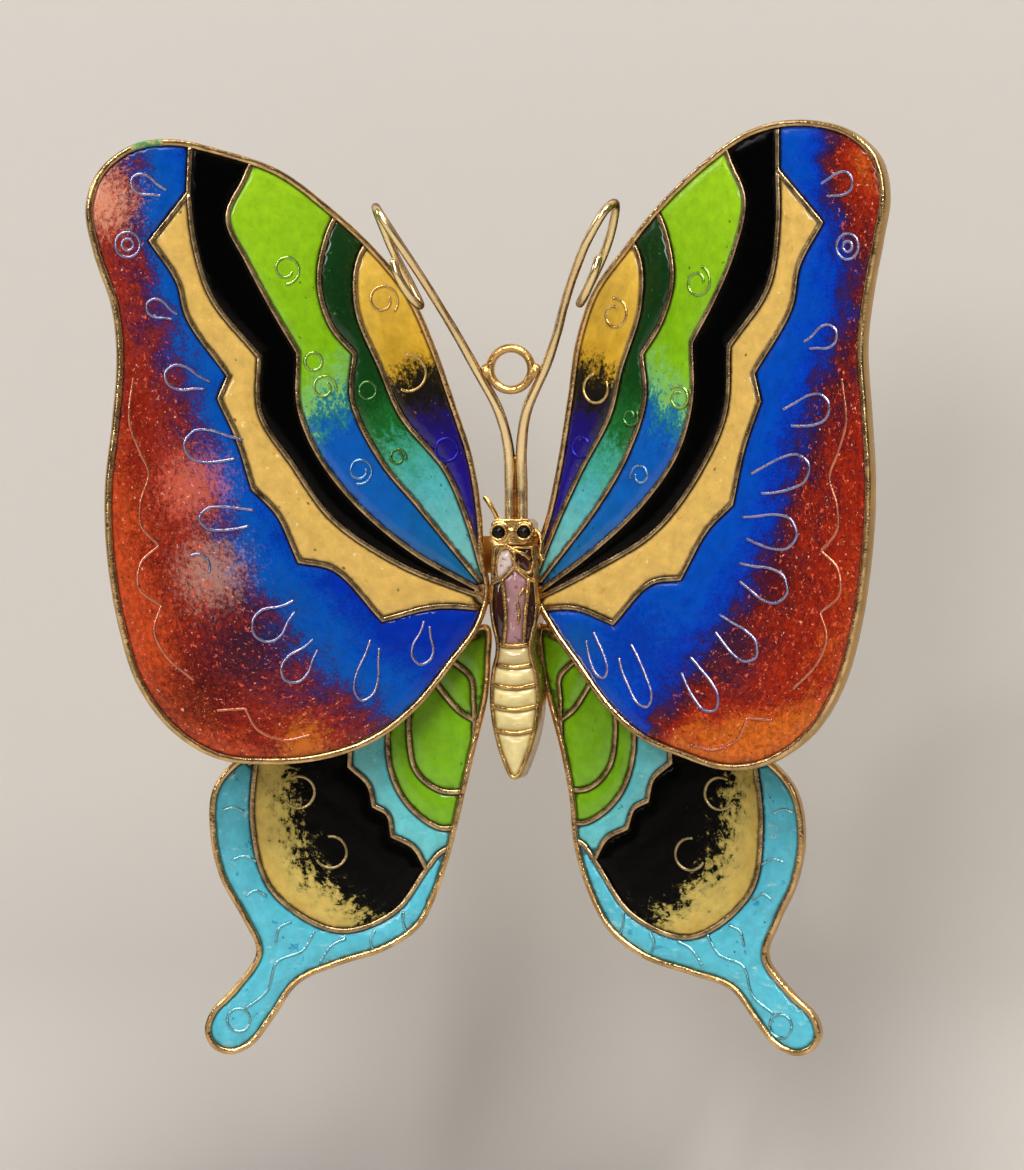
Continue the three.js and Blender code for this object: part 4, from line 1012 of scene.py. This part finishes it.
THORAX_WIRES = [
    [(-0.25, 3.9), (0.05, 2.9), (0.55, 2.2), (1.15, 2.0), (1.4, 2.7)],
    [(-0.5, 3.9), (-1.0, 3.4), (-1.2, 2.6), (-1.2, 1.7)],
    [(0.75, 0.9), (0.35, 0.2), (0.42, -0.7), (0.3, -1.5)],
    [(-0.4, 3.9), (0.1, 3.6), (0.7, 3.3), (1.2, 2.9)]]
IVORY = dict(stops=[(0, (232, 214, 150)), (1, (236, 220, 160))], specks=[((206, 176, 104), 0.2, 1.6)],
             edge=0.55, rough=0.2)
BROWN = dict(stops=[(0, (52, 20, 16)), (1, (70, 26, 20))], specks=[((18, 8, 8), 0.35, 1.5)],
             rough=0.1, coat=0.8)
BODY_CELLS = {
    "thorax_cell_upper_left": ((-0.8, 2.9), 0.14, "ivory_enamel", dict(
        stops=[(0, (214, 198, 190)), (1, (222, 206, 196))], specks=[((150, 100, 96), 0.5, 1.2)],
        edge=0.6, coat=0.7)),
    "thorax_cell_upper_right": ((0.8, 3), 0.16, "brown_enamel", BROWN),
    "thorax_cell_mauve": ((0.15, 0), 0.16, "mauve_enamel", dict(
        stops=[(0, (168, 126, 130)), (1, (178, 138, 140))],
        specks=[((108, 60, 66), 0.5, 1.2), ((232, 214, 208), 0.35, 1.0)], edge=0.5, rough=0.1, coat=0.7)),
    "thorax_cell_dark_left": ((-1.15, -0.4), 0.14, "brown_enamel", BROWN),
    "thorax_cell_dark_right": ((1.2, -0.4), 0.14, "brown_enamel", BROWN),
    "neck_lens": ((0, -3.7), 0.14, "ivory_enamel", dict(
        stops=[(0, (206, 186, 130)), (1, (216, 198, 142))], specks=[((150, 120, 70), 0.3, 1.3)],
        edge=0.5, coat=0.8)),
    "abdomen_band_1": ((0, -5.2), 0.12, "ivory_enamel", IVORY),
    "abdomen_band_2": ((0, -6.7), 0.12, "ivory_enamel", IVORY),
    "abdomen_band_3": ((0, -8.2), 0.12, "ivory_enamel", IVORY),
    "abdomen_tip": ((0, -9.9), 0.10, "ivory_enamel", IVORY)}


def body_place(pts):
    """(x, z, height to the front) of the body to metres of the row; the face is arched."""
    p = np.asarray(pts, float).copy()
    p[:, 2] -= 0.42 * (p[:, 0] / 1.75) ** 2 * np.clip((p[:, 2] - 1) / 1.5, 0, 1)
    return np.c_[p[:, 0] + BODY_X, -p[:, 2] - STEM_Y, p[:, 1] - STEM_Z] * MM


half = np.array(BODY_HALF)
body_edge = evenly(smooth(np.vstack([half, half[::-1] * (-1, 1)]), 10), 0.12)
body_edge = np.vstack([body_edge, evenly(np.array([(-1.45, 3.9), (1.45, 3.9)]), 0.12)[1:-1]])
shell = Shape(body_place)
shell_profile = [
    (-BODY_RIM, CELL_DEPTH), (-BODY_RIM, BODY_FRONT - 0.12), (-0.25, BODY_FRONT - 0.03), (-0.18, BODY_FRONT),
    (-0.09, BODY_FRONT - 0.02), (-0.02, BODY_FRONT - 0.1), (0, BODY_FRONT - 0.25), (0, 1.2), (0, -0.15),
    (-0.08, -BODY_BACK + 0.02), (-0.2, -BODY_BACK)]
shell.sweep(body_edge, shell_profile, closed=True, rough=0.012, seed=2)
back_points, back_groups = fill_cells(sidestep(body_edge, -0.2, True), [], 0, [], 0.4, 3)
flat, faces, border, gap = take(back_points, back_groups[0])
shell.add(np.c_[flat, np.full(len(flat), -BODY_BACK)], [tuple(reversed(f)) for f in faces])
body_lines = [smooth(run, 10) if len(run) > 2 else evenly(np.array(run, float), 0.2) for run in BODY_WIRES]
inner_edge = sidestep(body_edge, -BODY_RIM + 0.02, True)
for i, line in enumerate(body_lines):
    clip = line[inside(line, sidestep(body_edge, -0.12, True))]
    rise = BODY_FRONT - 0.07 + 0.002 * i
    shell.sweep(evenly(clip, 0.14), [(a * BODY_WIRE_SCALE, h + rise) for a, h in WIRE_PROFILE],
                rough=0.012, seed=i)
for i, run in enumerate(THORAX_WIRES):
    rise = BODY_FRONT - 0.06 + 0.004 * i
    profile = [(a * THORAX_WIRE_SCALE, h + rise) for a, h in SCROLL_PROFILE]
    shell.sweep(evenly(smooth(run, 10), 0.1), profile, rough=0.015, seed=i)
body_gilt = metal("body_gilt", (232, 190, 118), (92, 44, 22), 0.22, 0.6, 1300)
shell.make("look_body_shell", body_gilt, ["body_shell"], "gilt_metal")
cell_points, cell_groups = fill_cells(inner_edge, body_lines, BODY_WIRE_HALF - 0.02, [], 0.11, 4)
for key, (seed, dome, slot, settings) in BODY_CELLS.items():
    part = take(cell_points, group_at(cell_points, cell_groups, seed))
    gap = part[3]
    swell = (dome + 0.08) * (1 - np.exp(-(gap / 0.3) ** 2))
    height = BODY_FRONT - 0.2 + swell + 0.02 * wave(part[0], 1.6, 6)
    glass = enamel(key + "_glass", seed=len(key), **settings)
    lens(key, part, height, CELL_DEPTH + 0.03, body_place, False, glass, slot, None)


def cast(name, voxel, passes, material, slot):
    """The CAD shape of a node with soft, melted edges."""
    made = bpy.data.objects.new("soft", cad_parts[name].data.copy())
    bpy.context.scene.collection.objects.link(made)
    remesh = made.modifiers.new("remesh", "REMESH")
    remesh.mode, remesh.voxel_size = "VOXEL", voxel * MM
    soften = made.modifiers.new("soften", "SMOOTH")
    soften.factor, soften.iterations = 0.5, passes
    depsgraph = bpy.context.evaluated_depsgraph_get()
    mesh = bpy.data.meshes.new_from_object(made.evaluated_get(depsgraph))
    bpy.data.objects.remove(made)
    pts = [v.co.copy() for v in mesh.vertices]
    faces = [tuple(p.vertices) for p in mesh.polygons]
    add_mesh("look_" + name, pts, faces, material, [name], slot)


cast("head", 0.055, 3, body_gilt, "gilt_metal")
cast("pendant_ring", 0.05, 3, gilt, "gilt_metal")

# ---- antennae ----
gilt_dark = metal("gilt_dark", (170, 104, 40), (60, 28, 12), 0.3, 0.6, 1200)
ANTENNA_RADIUS, ANTENNA_TAPER, SEAM_RADIUS = 0.36 * 1.08, 0.78, 0.2
ANTENNA_PATH = [
    (0.42, -1.3, 5.3), (0.42, -1.3, 6.2), (0.42, -1.3, 8), (0.46, -1.6, 10.6), (1, -2.4, 13.2),
    (2.5, -3.2, 16.2), (3.5, -4.6, 18.4), (4.2, -6.2, 20), (5.15, -8, 22), (6.5, -9.8, 24.5),
    (7.7, -10, 26.4),
    (8.2, -8.9, 26.9), (7.9, -7.8, 25.6), (7.2, -7.2, 23.7), (6.1, -6.9, 21.5), (5.5, -7.2, 20.3),
    (5.9, -8, 20.7), (6.7, -8.8, 22.2), (7.1, -8.7, 23.5)]


def round_wire(line, radius, sides=14, seed=0, taper=1.0):
    """A drawn wire with slightly uneven thickness and rounded ends; facing is 1 at its front and back."""
    line = np.asarray(line, float)
    ahead = np.gradient(line, axis=0)
    ahead /= np.linalg.norm(ahead, axis=1)[:, None]
    across = np.cross(ahead[0], (0, 1, 0.2))
    verts = []
    n = len(line)
    reach = np.r_[0, np.cumsum(np.linalg.norm(np.diff(line, axis=0), axis=1))]
    end = np.minimum(reach, reach[-1] - reach)
    size = radius * np.sqrt(np.clip(1 - (1 - np.clip(end / radius, 0, 1)) ** 2, 0.02, 1))
    thin = np.interp(reach / reach[-1], (0, 0.12, 0.4, 1), (1, 1, taper, taper))
    size = size * (1 + 0.03 * wave(line, 0.9, seed)) * thin
    turn = full_turn(sides)
    for i in range(n):
        across = across - ahead[i] * (across @ ahead[i])
        across /= np.linalg.norm(across)
        up = np.cross(ahead[i], across)
        ring = line[i] + size[i] * (np.cos(turn)[:, None] * across + np.sin(turn)[:, None] * up)
        verts += list(ring)
    faces = quads(n, sides)
    faces.append(tuple(range(sides))[::-1])
    faces.append(tuple((n - 1) * sides + k for k in range(sides)))
    verts = np.array(verts)
    facing = np.abs(verts[:, 1] - np.repeat(line[:, 1], sides)) / np.repeat(size, sides)
    return verts, faces, facing


def wire_metal(name, colour, dark):
    """Drawn gilt wire with painted shade along its two sides and a painted bright line down its front and
    back.
    """
    mat, tree, shade = surface(name, in_Metallic=1.0)
    facing = node(tree, "ShaderNodeAttribute", attribute_name="fade").outputs["Fac"]
    where = node(tree, "ShaderNodeTexCoord").outputs["Object"]
    spots = socket_noise(tree, where, 1100, 3, 0.65)
    # Painted shade on the flanks of the wire; a painted highlight where it faces front or back.
    side = step_at(tree, maths(tree, "MULTIPLY_ADD", spots, 0.12, facing), 0.3, 0.72, 1.0, 0.0)
    link(tree, mix_colour(tree, side, srgb(*colour), srgb(*dark)), shade.inputs["Base Color"])
    link(tree, maths(tree, "MULTIPLY_ADD", spots, 0.08, 0.24, clamp=True), shade.inputs["Roughness"])
    return mat


# Antennae: a bright painted highlight line with dark brown painted shade on the sides.
antenna_gilt = wire_metal("antenna_gilt", (255, 226, 170), (112, 62, 24))
for hand_side, hand in ((-1, "left"), (1, "right")):
    path = np.array(ANTENNA_PATH) * (hand_side, 1, 1) + (BODY_X, -STEM_Y, -STEM_Z)
    pts, faces, facing = round_wire(smooth(path, 14), ANTENNA_RADIUS, 16, hand_side + 3, ANTENNA_TAPER)
    add_mesh(f"look_{hand}_antenna", pts * MM, faces, antenna_gilt, [f"{hand}_antenna"], "gilt_metal",
             attributes={"fade": facing})

seam = smooth([(BODY_X, -1.42 - STEM_Y, z - STEM_Z) for z in (5.5, 7, 8.6, 10.1)], 12)
pts, faces, facing = round_wire(seam, SEAM_RADIUS, seed=9)
add_mesh("look_antenna_seam", pts * MM, faces, gilt_dark, [], "gilt_metal")

# ---- pieces that keep their drawn shape, with eased edges ----
eye_glass = enamel("eye_glass", [(0, (8, 7, 7)), (1, (8, 7, 7))], rough=0.12, edge=0.0, coat=0.0, spec=0.25)
FINDING = ("brooch_bar", "left_bar_post", "right_bar_post", "centre_bar_post", "hinge_bracket", "hinge_rivet",
           "pin_stem", "catch_housing", "catch_sleeve")
for name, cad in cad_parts.items():
    is_eye = name.endswith("_eye")
    if not is_eye and name not in FINDING:
        continue
    weld = cad.modifiers.new("weld", "WELD")
    weld.merge_threshold = 1e-6
    if is_eye:
        finer = cad.modifiers.new("finer", "SUBSURF")
        finer.levels = finer.render_levels = 1
    else:
        ease = cad.modifiers.new("ease", "BEVEL")
        ease.width, ease.segments, ease.limit_method = 0.00005, 2, "ANGLE"
        ease.angle_limit = math.radians(35)
    cad.data.materials.clear()
    cad.data.materials.append(eye_glass if is_eye else gilt_finding)
    cad.data.polygons.foreach_set("use_smooth", [True] * len(cad.data.polygons))
